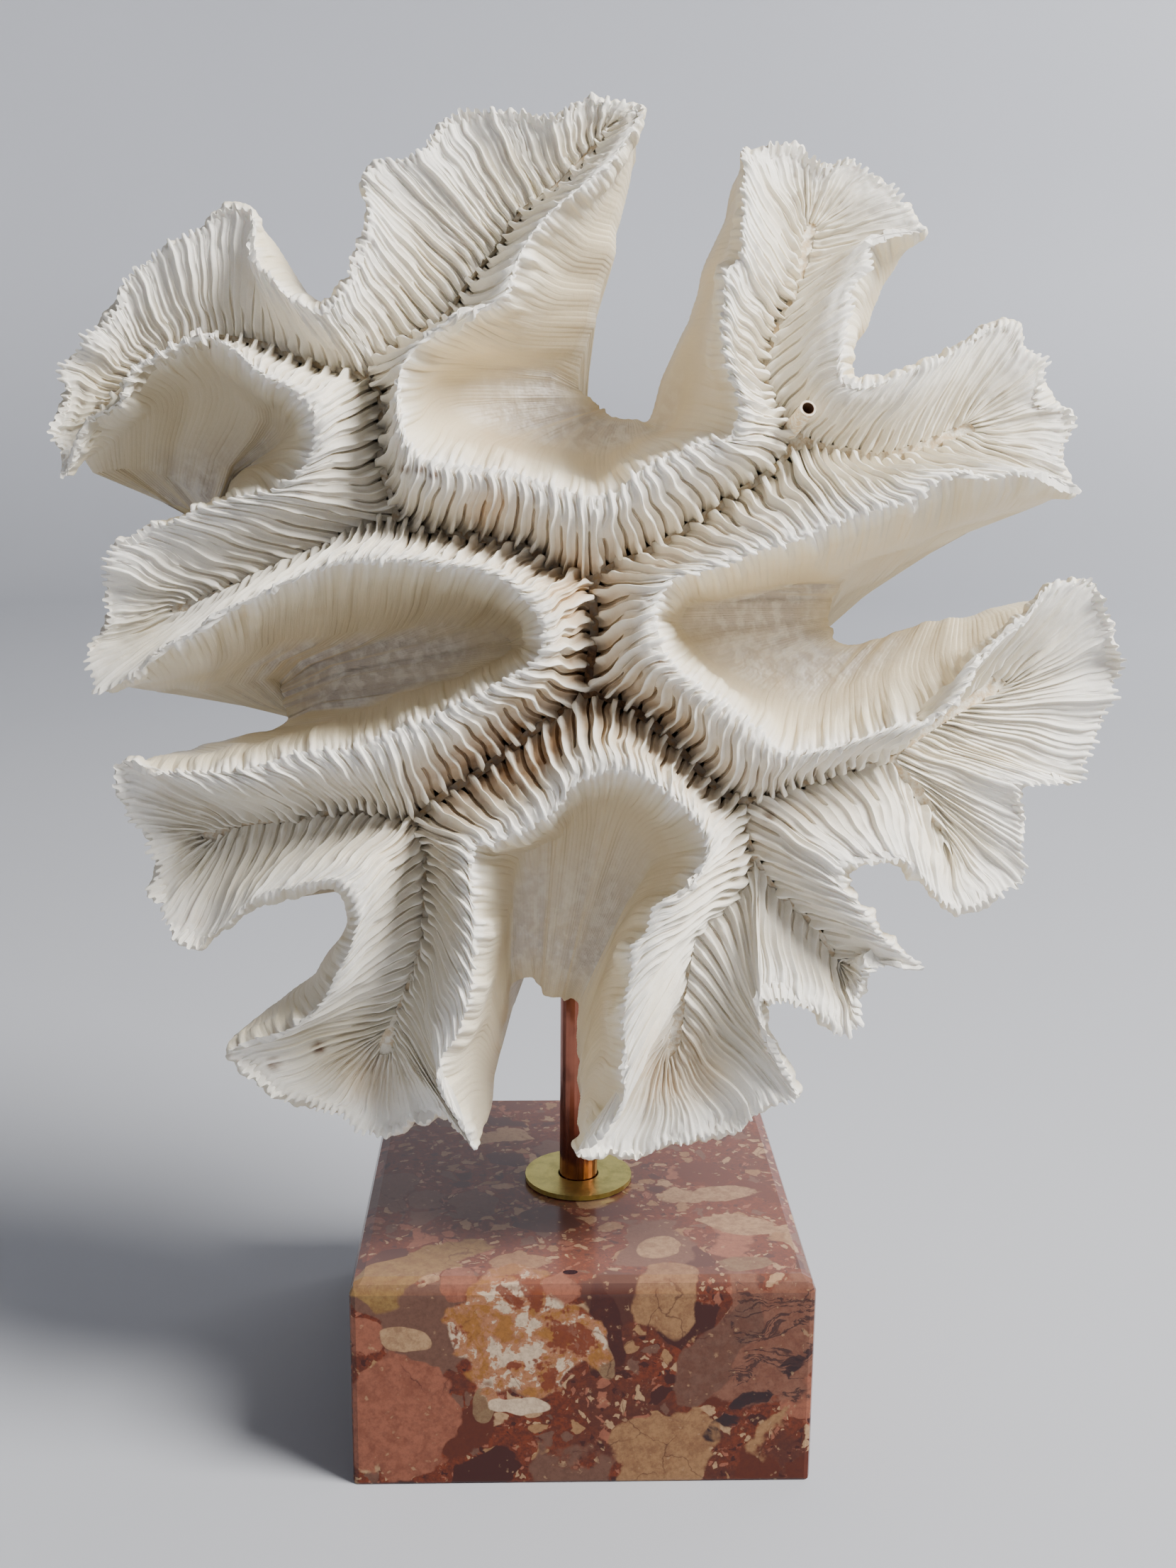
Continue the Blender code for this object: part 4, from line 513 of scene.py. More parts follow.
        "right_upper_crest", [(71, 18.4), (66, 15.2), (62, 12.7), (58, 10)] + back_along(TO_RIGHT),
        (-1, -3, -3, -1, 0), (10, 12, 13), 0.1,
        [(87, 35), (82.2, 35.4), (76.5, 28.9), (71.9, 25.2), (69, 22.3), (66.2, 17.1), (63.3, 13.6),
        (59, 11), (55.2, 10.8), (50, 9), (44.8, 7.3), (40.2, 6.4), (36.2, 5.9), (33, 6.7)],
        [(84.5, 32.5, 19), (77, 29.5, 22), (67, 25, 27), (57, 21, 31), (48, 18, 34), (38, 15, 35)],
        [(79, 32.5, 28), (71, 31, 32), (62.7, 29, 35), (55, 27, 37), (50, 25.2, 39), (46, 24.6, 40)],
    ),
    stretch(
        "centre_right_lower_crest", back_along(LOW_RIGHT), (0, 0, 0), (13, 14, 14), 0.0,
        [(29.8, 9.6), (25.8, 12.8), (22.3, 15.4), (18.3, 18.3), (14.8, 21.7)],
        [(32, 16, 35), (26, 19.5, 35), (20, 23.5, 34)],
        [(43.2, 25.4, 40.5), (42.5, 27, 41)],
    ),
    stretch(
        "centre_right_end", MIDDLE, (0, 0, 0), (14, 14, 14), 0.0,
        [(12.8, 25.2), (11.9, 29.2), (13.1, 32.7)],
        [(17, 27, 34), (16.5, 29.3, 34)],
        [(42, 29, 41), (42.1, 30, 41)],
    ),
    stretch(
        "upper_right_lower_crest_inner", TOP_RIGHT, (0, 0, -1), (14, 14, 13), 0.0,
        [(15.4, 35.6), (20, 37), (25, 38.6), (30.4, 40.8), (37, 42.5)],
        [(18, 31.3, 34), (26, 33, 35), (34, 34.8, 35)],
        [(42.4, 31, 41), (43, 32.5, 41), (44, 34.5, 40.5)],
    ),
    stretch(
        "upper_right_lower_crest", TO_UPPER_RIGHT[:5], (-1, -3, -3, -1), (13, 12, 9), 0.2,
        [(44, 45.5), (50, 47.5), (56.7, 49.6), (60.8, 52.6), (65.5, 54.7), (70, 53.2), (75, 54.3),
        (80.3, 53.3)],
        [(43, 37.4, 33), (53, 41, 29), (64, 45, 25), (74, 48.5, 21)],
        [(45.5, 36.5, 40), (49, 38.7, 38), (56.4, 41.6, 36), (64, 44.4, 33), (72, 47, 30)],
    ),
    stretch(
        "upper_right_fan", [(64, 60.5), (67.5, 62), (66.5, 63), (63, 61.5)], (-1, 2, 3, 1), (9, 8, 9), 0.9,
        [(85.3, 50.9), (83, 55), (82.6, 58), (84, 61), (84.3, 65.1), (81.6, 66), (79.6, 70), (79.6, 73.8),
        (76.3, 75.5)],
        [(82.5, 50.5, 17), (80, 58, 21), (79.5, 64, 22), (76, 71, 22)],
        [(78.5, 48.8, 26), (71, 55, 33), (68, 61, 35), (66, 67, 35)],
    ),
    stretch(
        "upper_right_upper_side", [(63, 61.5), (58, 59.4), (51, 57.6), (45, 58.5), (38, 60.2)],
        (1, 1, 1, 1), (9, 11, 12), 0.6,
        [(74.2, 81.5), (70.5, 80.2), (68, 78.5), (64, 76), (60.5, 74), (55.4, 71.8), (51, 70.5)],
        [(72.5, 78, 19), (65, 73.5, 23), (57, 70.5, 25)],
        [(64, 72.5, 31), (57, 68, 35), (50, 66, 37)],
    ),
    stretch(
        "top_right_outer_side", [(38, 60.2)] + TO_TOP_RIGHT[1:], (1, 2, 2, 1), (12, 11, 8), 0.6,
        [(47.5, 69.8), (44.7, 72.1), (45, 78), (45.2, 83), (46.3, 87.8), (48.1, 90), (50, 95), (54, 96.5)],
        [(48, 68.8, 26), (45.7, 73.5, 26), (48.6, 80, 24), (50.9, 86, 22)],
        [(44.5, 66.5, 37), (41.5, 71, 38), (42, 78, 36)],
    ),
    stretch(
        "top_right_fan", [(39, 94), (39.8, 97.5), (38.8, 98), (37.5, 94)], (1, 3, 3, 0), (8, 8, 8), 0.9,
        [(58.4, 97.1), (57, 99.5), (55, 102), (52, 105), (49, 107), (45.6, 108.8), (41, 107.5), (37, 110),
        (35, 111), (31, 110.5)],
        [(54.8, 93.2, 19), (50, 100, 21), (43, 104, 22), (35, 106, 21)],
        [(45, 86, 31), (42, 92, 34), (36, 96, 34), (30, 99, 31)],
    ),
    stretch(
        "top_right_inner_side", [(37.5, 94)] + back_along(TO_TOP_RIGHT)[1:], (0, -3, -4, -3, -1),
        (8, 12, 13), 0.1,
        [(27, 111.2), (27.5, 106), (27, 99), (26.4, 92.7), (23.7, 89.3), (23.4, 83.3), (23.1, 78.6),
        (24.8, 71.2), (26.4, 66.4), (25.5, 62.5)],
        [(27.3, 108, 16), (25.7, 99, 20), (22.3, 88, 25), (19.5, 78, 29), (17.5, 69, 32)],
        [(25.7, 105.5, 23), (24.4, 101.4, 27), (20.4, 89.3, 33), (17, 80, 37), (13, 71.2, 39)],
    ),
    stretch(
        "top_hollow_right_crest", back_along(TOP_RIGHT), (-1, 0, 0), (13, 14, 14), 0.0,
        [(25, 61), (20, 60), (15, 58), (10, 55.5), (7, 53.5), (5, 51.5)],
        [(16, 63.3, 33), (11, 60.5, 34), (5, 58, 34)],
        [(10.3, 63.5, 40), (8.5, 63.6, 40.5), (6.5, 63.8, 40.5)],
    ),
    stretch(
        "top_hollow_left_crest", TOP_MIDDLE, (0, 0, -1), (14, 14, 13), 0.0,
        [(0, 50.5), (-5, 52), (-10, 53.5), (-15, 55), (-20, 55.6), (-26, 56.5)],
        [(0, 57, 34), (-6, 58, 34), (-13, 60.5, 34), (-19, 63, 34)],
        [(4.5, 64, 40.5), (3.2, 65, 40.5), (2, 66, 40.5)],
    ),
    stretch(
        "top_hollow_left_end", UP_LEFT, (-1, -1, -2), (13, 13, 13), 0.0,
        [(-30, 58), (-32, 62), (-33, 67), (-32.5, 72)],
        [(-22, 65.5, 33), (-23, 68, 32), (-22, 71, 31)],
        [(1, 67, 40.5), (0, 67.8, 40.5), (-1, 68.6, 40)],
    ),
    stretch(
        "top_left_right_crest", TO_TOP, (-2, -4, -5, -4, -1), (13, 11, 4), 0.1,
        [(-30, 76), (-25, 80), (-22, 82.5), (-17, 83.5), (-14, 85.5), (-12, 91), (-10, 95), (-8, 98),
        (-5, 101), (0, 105.3), (5, 110)],
        [(-19, 73.5, 30), (-12, 76, 28), (-7, 82, 25), (-3, 90, 22), (1.5, 99, 18), (5.5, 107, 15)],
        [(-2, 69.4, 39.5), (-1, 74, 38), (1.5, 82.6, 35), (3.2, 89.3, 32), (5.2, 96.7, 28), (6.9, 104, 25)],
    ),
]


# Each list goes on to the next stretch's first station
for own, following in zip(STRETCHES, STRETCHES[1:] + STRETCHES[:1]):
    for key in ("rim", "foot", "back"):
        own[key].append(following[key][0])


def dome(across, up):
    """Depth of the broad dome on which the crests lie."""
    x = across - CORAL_CENTRE[0]
    y = up - CORAL_CENTRE[1]
    return DOME_RISE + DOME_CURVE * (x * x + y * y) + DOME_LEAN * y


def chord_fractions(points):
    steps = np.linalg.norm(np.diff(np.asarray(points, float)[:, :2], axis=0), axis=1)
    along = np.concatenate([[0.0], np.cumsum(steps)])
    return along / along[-1]


def smooth_closed(knots, values, period, wanted):
    """Cubic curve through values at the knots of a closed loop, with no overshoot between them."""
    knots = np.asarray(knots)
    values = np.asarray(values, float)
    after = np.append(knots[1:], knots[0] + period)
    step = (after - knots)[:, None]
    slope = (np.roll(values, -1, axis=0) - values) / step
    before_slope = np.roll(slope, 1, axis=0)
    before_step = np.roll(step, 1, axis=0)
    tangent = (slope * before_step + before_slope * step) / (step + before_step)
    limit = 3 * np.minimum(np.abs(slope), np.abs(before_slope))
    tangent = np.where(slope * before_slope > 0, np.clip(tangent, -limit, limit), 0.25 * tangent)
    index = np.searchsorted(knots, wanted, side="right") - 1
    nearby = (index + 1) % len(knots)
    span = step[index]
    t = ((wanted - knots[index])[:, None]) / span
    h1 = 2 * t**3 - 3 * t**2 + 1
    h2 = t**3 - 2 * t**2 + t
    h3 = 3 * t**2 - 2 * t**3
    h4 = t**3 - t**2
    here = h1 * values[index] + h2 * span * tangent[index]
    return here + h3 * values[nearby] + h4 * span * tangent[nearby]


def rim_lengths():
    """Where each stretch starts along the rim, and the length of the whole rim."""
    starts = [0.0]
    for piece in STRETCHES:
        rim = np.asarray(piece["rim"], float)
        starts.append(starts[-1] + np.linalg.norm(np.diff(rim, axis=0), axis=1).sum())
    return starts[:-1], starts[-1]


def closed_loop(key, places):
    """The stations named key of every stretch as one closed loop, read at the places along the rim."""
    starts, whole = rim_lengths()
    ends = starts[1:] + [whole]
    knots = []
    values = []
    for piece, start, end in zip(STRETCHES, starts, ends):
        stations = np.asarray(piece[key], float)
        if stations.ndim == 1:
            fractions = np.linspace(0, 1, len(stations))
            stations = stations[:, None]
        else:
            fractions = chord_fractions(stations)
        knots.extend(start + (end - start) * fractions[:-1])
        values.extend(stations[:-1])
    return smooth_closed(knots, values, whole, places)


def level_loop(key, places):
    """A number given once for each stretch, such as fan, eased from the middle of one to the next."""
    starts, whole = rim_lengths()
    ends = starts[1:] + [whole]
    middles = [(start + end) / 2 for start, end in zip(starts, ends)]
    wanted = np.where(places < middles[0], places + whole, places)
    return smooth_closed(middles, [[piece[key]] for piece in STRETCHES], whole, wanted)[:, 0]


def blurred(values, passes, axis=0):
    """Values round a closed loop, each pass mixing every one with its neighbours along an axis."""
    for _ in range(passes):
        values = 0.25 * np.roll(values, 1, axis) + 0.5 * values + 0.25 * np.roll(values, -1, axis)
    return values


def turning_once(back, passes):
    """Angles of the base ring, one a column, that turn once round it and never back. They are close to the
    wall's own, and where a lobe is wider than its waist, to the waist's."""
    count = len(back)
    away = back[:, :2] - BASE_CENTRE
    around = np.unwrap(np.arctan2(away[:, 1], away[:, 0]))
    turns = np.concatenate([around - 2 * pi, around, around + 2 * pi])
    hold = np.tile(np.linalg.norm(away, axis=1) ** -WAIST_HOLD, 3)
    places = np.arange(len(turns))
    highest = np.maximum.accumulate(turns)
    before = np.maximum.accumulate(np.where(turns >= highest, places, 0))
    lowest = np.minimum.accumulate(turns[::-1])[::-1]
    after = np.minimum.accumulate(np.where(turns <= lowest, places, len(turns) - 1)[::-1])[::-1]
    kept = (highest * hold[before] + lowest * hold[after]) / (hold[before] + hold[after])
    kept = kept[count:2 * count]
    even = np.linspace(0, 2 * pi, count, endpoint=False)
    even = even + (kept - even).mean()
    return even + blurred(BASE_FOLLOW * (kept - even), passes)


def unit(vectors):
    return vectors / np.maximum(np.linalg.norm(vectors, axis=-1, keepdims=True), 1e-9)


def coral_loops(columns):
    """The coral's closed loops, one station a column: groove, rim, foot, back and base."""
    _, whole = rim_lengths()
    places = np.arange(columns) * whole / columns
    fan = level_loop("fan", places)
    rim_flat = closed_loop("rim", places)
    groove_flat = closed_loop("groove", places)
    foot = closed_loop("foot", places)
    back = closed_loop("back", places)
    soften = max(1, int(round((columns / whole * 1.6) ** 2)))
    groove_flat = blurred(groove_flat, soften)
    foot = blurred(foot, soften)
    back = blurred(back, soften)
    lift = blurred(closed_loop("lift", places), soften)[:, 0]
    drop = blurred(closed_loop("drop", places), soften)[:, 0]
    reach = max(1, int(round(columns / whole * 3)))
    travel = np.roll(groove_flat, -reach, axis=0) - np.roll(groove_flat, reach, axis=0)
    outward = np.stack([travel[:, 1], -travel[:, 0]], axis=1) / 6.0
    outward = unit(outward + 0.45 * unit(rim_flat - groove_flat))
    groove_flat = groove_flat + GROOVE_HALF_WIDTH * outward
    groove = np.column_stack([groove_flat, dome(groove_flat[:, 0], groove_flat[:, 1]) + drop])
    rim = np.column_stack([rim_flat, dome(rim_flat[:, 0], rim_flat[:, 1]) + lift])
    around = turning_once(back, soften)
    base = np.column_stack([
        BASE_CENTRE[0] + BASE_RADIUS * np.cos(around),
        BASE_CENTRE[1] + BASE_RADIUS * np.sin(around),
        BASE_DEPTH + 1.2 * np.sin(3 * around),
    ])
    straight = back + (base - back) * np.array([KEEL_SHARE, KEEL_SHARE, KEEL_DEPTH_SHARE])
    reach = np.linalg.norm(straight[:, :2] - BASE_CENTRE, axis=1)
    keel = np.column_stack([
        BASE_CENTRE[0] + reach * np.cos(around),
        BASE_CENTRE[1] + reach * np.sin(around),
        straight[:, 2],
    ])
    travel = blurred(np.roll(rim_flat, -1, axis=0) - np.roll(rim_flat, 1, axis=0), max(1, soften // 2))
    outward = unit(np.stack([travel[:, 1], -travel[:, 0]], axis=1))
    return dict(
        fan=fan, groove=groove, rim=rim, outward=outward, foot=foot, back=back, keel=keel, base=base
    )


def inside_row(loops, s):
    """The smooth inner wall at s, from 0 at the groove to 1 at the rim."""
    fan = loops["fan"]
    groove = loops["groove"]
    rim = loops["rim"]
    power = 2.3 - 0.9 * fan
    crest = 0.86 + 0.14 * fan
    rise = 1 - np.abs(np.clip(1 - s / crest, 0, 1)) ** power
    over = np.clip(s - crest, 0, 1) / np.maximum(1 - crest, 0.02)
    flat = groove[:, :2] + (rim[:, :2] - groove[:, :2]) * s
    depth = groove[:, 2] + (rim[:, 2] - groove[:, 2]) * rise + 0.7 * (1 - fan) * over**2
    return np.column_stack([flat, depth])


def outside_row(loops, w):
    """The smooth outer wall at w, from 0 at the rim to 1 at the base."""
    rim = loops["rim"].copy()
    rim[:, 2] += 0.7 * (1 - loops["fan"])
    foot = loops["foot"]
    back = loops["back"]
    base = loops["base"]
    shoulder = rim + (foot - rim) * np.array([0.22, 0.22, 0.42])
    shoulder[:, :2] += WALL_THICKNESS * loops["outward"]
    return through_rows(OUTSIDE_KNOTS, (rim, shoulder, foot, back, loops["keel"], base), w)


def through_rows(knots, rows, w):
    """Cubic curve through whole rows of points, with no overshoot."""
    rows = np.asarray(rows)
    knots = np.asarray(knots)
    step = np.diff(knots)[:, None, None]
    slope = np.diff(rows, axis=0) / step
    inner = (slope[1:] * step[:-1] + slope[:-1] * step[1:]) / (step[1:] + step[:-1])
    limit = 3 * np.minimum(np.abs(slope[1:]), np.abs(slope[:-1]))
    inner = np.where(slope[1:] * slope[:-1] > 0, np.clip(inner, -limit, limit), 0.0)
    tangent = np.concatenate([slope[:1], inner, slope[-1:]])
    k = min(int(np.searchsorted(knots, w, side="right")) - 1, len(knots) - 2)
    t = (w - knots[k]) / (knots[k + 1] - knots[k])
    span = step[k]
    return (
        (2 * t**3 - 3 * t**2 + 1) * rows[k]
        + (t**3 - 2 * t**2 + t) * span * tangent[k]
        + (3 * t**2 - 2 * t**3) * rows[k + 1]
        + (t**3 - t**2) * span * tangent[k + 1]
    )


def view_axes():
    forward = np.array([sin(VIEW_YAW) * cos(VIEW_PITCH), cos(VIEW_YAW) * cos(VIEW_PITCH), -sin(VIEW_PITCH)])
    level_right = np.array([cos(VIEW_YAW), -sin(VIEW_YAW), 0.0])
    level_up = np.cross(level_right, forward)
    right = cos(VIEW_ROLL) * level_right + sin(VIEW_ROLL) * level_up
    up = cos(VIEW_ROLL) * level_up - sin(VIEW_ROLL) * level_right
    return forward, right, up


def placed(stations):
    """Stations (across, up, behind) as points in the part's own frame, in millimetres."""
    forward, right, up = view_axes()
    stations = np.asarray(stations, float)
    across = stations[..., 0:1] / PLANE_DISTANCE
    height = stations[..., 1:2] / PLANE_DISTANCE
    away = stations[..., 2:3] + PLANE_DISTANCE
    return np.array(VIEW_POINT) + away * (forward + across * right + height * up)


def read_line(pairs, wanted):
    """A number read along a line of (place, value) pairs."""
    places, values = zip(*pairs)
    return np.interp(wanted, places, values)


def eased(values):
    """0 to 1 with soft ends, and flat beyond them."""
    t = np.clip(values, 0, 1)
    return t * t * (3 - 2 * t)


def soft_noise(random, shape, passes):
    """Random numbers with a spread of 1, blurred along each axis by so many passes."""
    values = random.standard_normal(shape)
    for axis, count in enumerate(passes):
        values = blurred(values, count, axis)
    return values / values.std()


def read_round(values, places, whole):
    """Values on an even grid round the closed rim, read at places along it."""
    count = len(values)
    at = np.mod(places, whole) / whole * count
    low = np.floor(at).astype(int)
    share = (at - low)[:, None]
    return values[low % count] * (1 - share) + values[(low + 1) % count] * share


def near_centre(across, up):
    """1 where the brown valleys meet, fading to 0 towards the lobes."""
    x, y, wide, high = MEETING
    return np.exp(-(((across - x) / wide) ** 2 + ((up - y) / high) ** 2))


def septum_gaps(random, s, fan, central, local):
    """How deep the gap beside each septum is: less on the outer lobes, and less where septa crowd."""
    gap = (1 - fan) * read_line(GAP_CENTRE, s) + fan * read_line(GAP_FAN, s)
    gap = gap * (OUTER_GAP_SHARE + (1 - OUTER_GAP_SHARE) * central)
    gap = gap * (1 + GAP_SPREAD * soft_noise(random, (len(fan), 1), (1, 0)))
    return gap * np.clip(local / OPEN_SPACING, CROWDED_GAP, 1)


def septum_seen(s, fan, order, lot, local):
    """1 where a septum stands, and 0 below its lower end or where there is no room for it."""
    end = np.choose(order, [-1.0, 0.12 * lot - 0.05, 0.25 + 0.35 * lot])
    room = eased((local - np.choose(order, ROOM_NEEDED)) / ROOM_FADE)
    return room * eased((s - end * (1 - 0.6 * fan)) / END_FADE)


def septum_fields(loops, spacing, septa, ratio):
    """For every septum (down) and every inside row (across): the depth of its gap, and its height, half
    width, shift along the rim and lean."""
    random = np.random.default_rng(SEED)
    s = np.array(INSIDE_SHARES)[None, :]
    grid = (septa, len(INSIDE_SHARES))
    places = (np.arange(septa) + 0.5) * spacing
    fan = np.clip(read_round(loops["fan"][:, None], places, septa * spacing), 0, 1)
    feet = read_round(loops["groove"][:, :2], places, septa * spacing)
    central = near_centre(feet[:, 0], feet[:, 1])[:, None]
    order = np.array(SEPTUM_ORDERS)[np.arange(septa) % len(SEPTUM_ORDERS)][:, None]
    lot = random.random((septa, 1))
    gap = septum_gaps(random, s, fan, central, ratio * spacing)
    seen = septum_seen(s, fan, order, lot, ratio * spacing)
    inner = eased((1.0 - s) / CREST_BAND)
    lower = np.choose(order, [0.35 * lot - 0.3, 0.4 * lot - 0.05, (0.8 + 0.4 * lot) * (1 - 0.78 * fan)])
    lower = lower * (0.35 + 0.65 * inner)
    ragged = RAGGED_FINE * soft_noise(random, grid, (0, 1)) + RAGGED_BROAD * soft_noise(random, grid, (0, 5))
    ragged = ragged * (0.45 + 0.55 * inner) * (1 - 0.45 * fan)
    knob = eased((lot - 0.1) / 0.2) * (order < 2) * (1 - 0.8 * fan)
    knob = knob * np.exp(-(((s - KNOB_PLACE - KNOB_STRAY * lot) / KNOB_LENGTH) ** 2))
    bridge = (order < 2) * (BRIDGE_HEIGHT - 0.5 * fan) * np.exp(-((s / BRIDGE_LENGTH) ** 2))
    height = bridge - lower + ragged + (0.5 + 0.6 * lot) * knob - gap * (1 - seen)
    half = (np.choose(order, HALF_WIDTHS) + 0.05 * fan) * (1 + 0.25 * soft_noise(random, grid, (0, 8)))
    half = half + KNOB_WIDTH * knob + (0.2 - 0.1 * fan) * eased((s - THICKENING) / (1 - THICKENING))
    half = np.clip(half / np.maximum(ratio, 0.05), LEAST_HALF * spacing, MOST_HALF * spacing)
    sway = SWAY * soft_noise(random, grid, (2, 12)) * (0.3 + 0.7 * inner) * (1 - 0.5 * fan)
    drift = DRIFT * soft_noise(random, grid, (40, 16)) * inner
    shift = np.clip(sway, -0.25, 0.25) / np.maximum(ratio, 0.45) + drift
    lean = LEAN * soft_noise(random, (septa, 1), (50, 0)) * eased(gap / 1.5) / np.maximum(ratio, 0.5)
    return dict(fan=fan, gap=gap, height=height, half=half, shift=shift, lean=lean)


def smooth_walls(loops, whole):
    """The coral's smooth walls, row by row, the way each point faces, and how wide the columns are beside
    those of the rim."""
    base = [inside_row(loops, s) for s in INSIDE_SHARES] + [outside_row(loops, w) for w in OUTSIDE_SHARES]
    base = placed(np.array(base))
    along = np.roll(base, -1, axis=1) - np.roll(base, 1, axis=1)
    normal = unit(np.cross(np.gradient(base, axis=0), along))
    width = np.linalg.norm(along, axis=2) / 2 / (whole / base.shape[1])
    width = 0.25 * np.roll(width, 2, axis=1) + 0.5 * width + 0.25 * np.roll(width, -2, axis=1)
    return base, unit(blurred(normal, NORMAL_PASSES, 1)), width


def sheet_ripples(random, septa, rows, fan):
    """Pleats, scallops and teeth for every column, and waves, ribs and grain for every point."""
    columns = (septa * COLUMNS_EACH,)
    points = (septa * COLUMNS_EACH, rows)
    pleat = 0.7 * soft_noise(random, columns, (60,)) + 1.3 * soft_noise(random, columns, (420,))
    scallop = 0.3 * soft_noise(random, columns, (30,)) + 0.55 * soft_noise(random, columns, (260,))
    tooth = np.repeat(0.15 + 1.35 * random.random(septa) ** 1.5, COLUMNS_EACH)
    crest = np.tile([0, 0, 1, 1, 1, 0], septa) == 1
    wavy = soft_noise(random, points, (160, 3))
    ribs = soft_noise(random, points, (36, 60)) + soft_noise(random, points, (9, 40))
    return dict(
        pleat=pleat * (0.1 + fan),
        pull=np.where(crest, (0.22 + 0.3 * fan) * tooth, -0.1 - 0.25 * fan) + scallop * (0.2 + fan),
        rise=np.where(crest, 0.3 * tooth, 0.0),
        wavy=wavy,
        ribs=ribs,
        grain=soft_noise(random, points, (1, 0)),
    )


def septum_row(field, row, centre, whole):
    """Where the columns of one row stand along the rim, and their height over the smooth wall."""
    spacing = centre[1] - centre[0]
    inside = len(INSIDE_SHARES)
    gap, height, half, shift, lean = (
        field[key][:, min(row, inside - 1)] for key in ("gap", "height", "half", "shift", "lean")
    )
    if row >= inside:
        w = OUTSIDE_SHARES[row - inside]
        fade = 1 - eased(w / 0.3)
        gap = np.full(len(centre), RIM_GAP * (1 - eased(w / 0.16)) + WALL_GAP * (1 - 0.5 * w))
        height = height * (1 - eased(w / 0.12))
        half = half * fade + 0.3 * spacing * (1 - fade)
        shift = shift * fade
        lean = lean * fade
    middle = centre + shift
    before = (middle + np.concatenate([[middle[-1] - whole], middle[:-1]])) / 2
    foot = np.minimum(half * FOOT_WIDENING + FOOT_SPREAD * spacing, MOST_FOOT * spacing)
    crest = middle + lean
    side = FOOT_SHARE * -gap
    between = -(gap + np.roll(gap, 1)) / 2
    column = [before, middle - foot, crest - half, crest, crest + half, middle + foot]
    level = [between, side, height + CREST_EDGE, height + CREST_MIDDLE, height + CREST_EDGE, side]
    return np.stack(column, axis=1).ravel(), np.stack(level, axis=1).ravel()


def row_folds(ripples, row):
    """How far one row's points are folded outward, and how far the rim's teeth and scallops pull them."""
    inside = len(INSIDE_SHARES)
    s = INSIDE_SHARES[min(row, inside - 1)]
    w = OUTSIDE_SHARES[row - inside] if row >= inside else 0.0
    edge = eased((s - TOOTH_START) / (1 - TOOTH_START)) * (1 - eased(w / TOOTH_END))
    fold = PLEAT_SHARE * eased((s - 0.15) / 0.7) * (1 - eased(w / 0.36)) * ripples["pleat"]
    grain = 1.5
    if row >= inside:
        edge = 0.7 * edge
        fold = -fold
        grain = 0.6
    fold = fold + WAVE_HEIGHT * ripples["wavy"][:, row] * (eased(w / 0.2) + 0.25)
    fold = fold + ripples["rise"] * edge
    rib = RIB_HEIGHT * eased(w / 0.03) * (1 - eased((w - 0.08) / 0.34))
    fold = fold + rib * ripples["ribs"][:, row] + grain * GRAIN_HEIGHT * ripples["grain"][:, row]
    return fold, ripples["pull"] * edge


def coral_sheet():
    """Points of the fine sheet, row by row, and their height over the smooth wall. Six columns make one
    septum: the middle of the gap before it, the foot, the edge and the middle of its crest, and the edge
    and the foot behind."""
    _, whole = rim_lengths()
    loops = coral_loops(int(whole / GRID_STEP))
    septa = 4 * int(round(whole / SEPTUM_SPACING / 4))
    spacing = whole / septa
    base, normal, width = smooth_walls(loops, whole)
    inside = len(INSIDE_SHARES)
    centre = (np.arange(septa) + 0.5) * spacing
    ratio = np.stack([read_round(row[:, None], centre, whole)[:, 0] for row in width[:inside]], axis=1)
    field = septum_fields(loops, spacing, septa, ratio)
    fan = np.repeat(field["fan"][:, 0], COLUMNS_EACH)
    ripples = sheet_ripples(np.random.default_rng(SEED + 1), septa, len(base), fan)
    reach = unit(base[inside - 1] - base[inside - 4])
    points = []
    relief = []
    for row, (wall, facing) in enumerate(zip(base, normal)):
        column, level = septum_row(field, row, centre, whole)
        fold, pull = row_folds(ripples, row)
        out = unit(read_round(facing, column, whole)) * (level + fold)[:, None]
        pulled = read_round(reach, column, whole) * pull[:, None]
        points.append(read_round(wall, column, whole) + out + pulled)
        relief.append(level)
    return dict(
        points=np.array(points), relief=np.array(relief), whole=whole, septa=septa, spacing=spacing,
    )


def on_plane(points):
    """How far behind the viewing point each point lies, and where it is seen on the plane of stations."""
    forward, right, up = view_axes()
    away = points - np.array(VIEW_POINT)
    depth = away @ forward
    return depth - PLANE_DISTANCE, away @ right / depth * PLANE_DISTANCE, away @ up / depth * PLANE_DISTANCE


def near_spots(spots, across, height, power=1):
    """1 in the middle of each spot, which is (across, up, radius), fading to 0 round it."""
    total = np.zeros_like(across)
    for x, y, radius in spots:
        total += np.exp(-((((across - x) ** 2 + (height - y) ** 2) / radius**2) ** power))
    return total


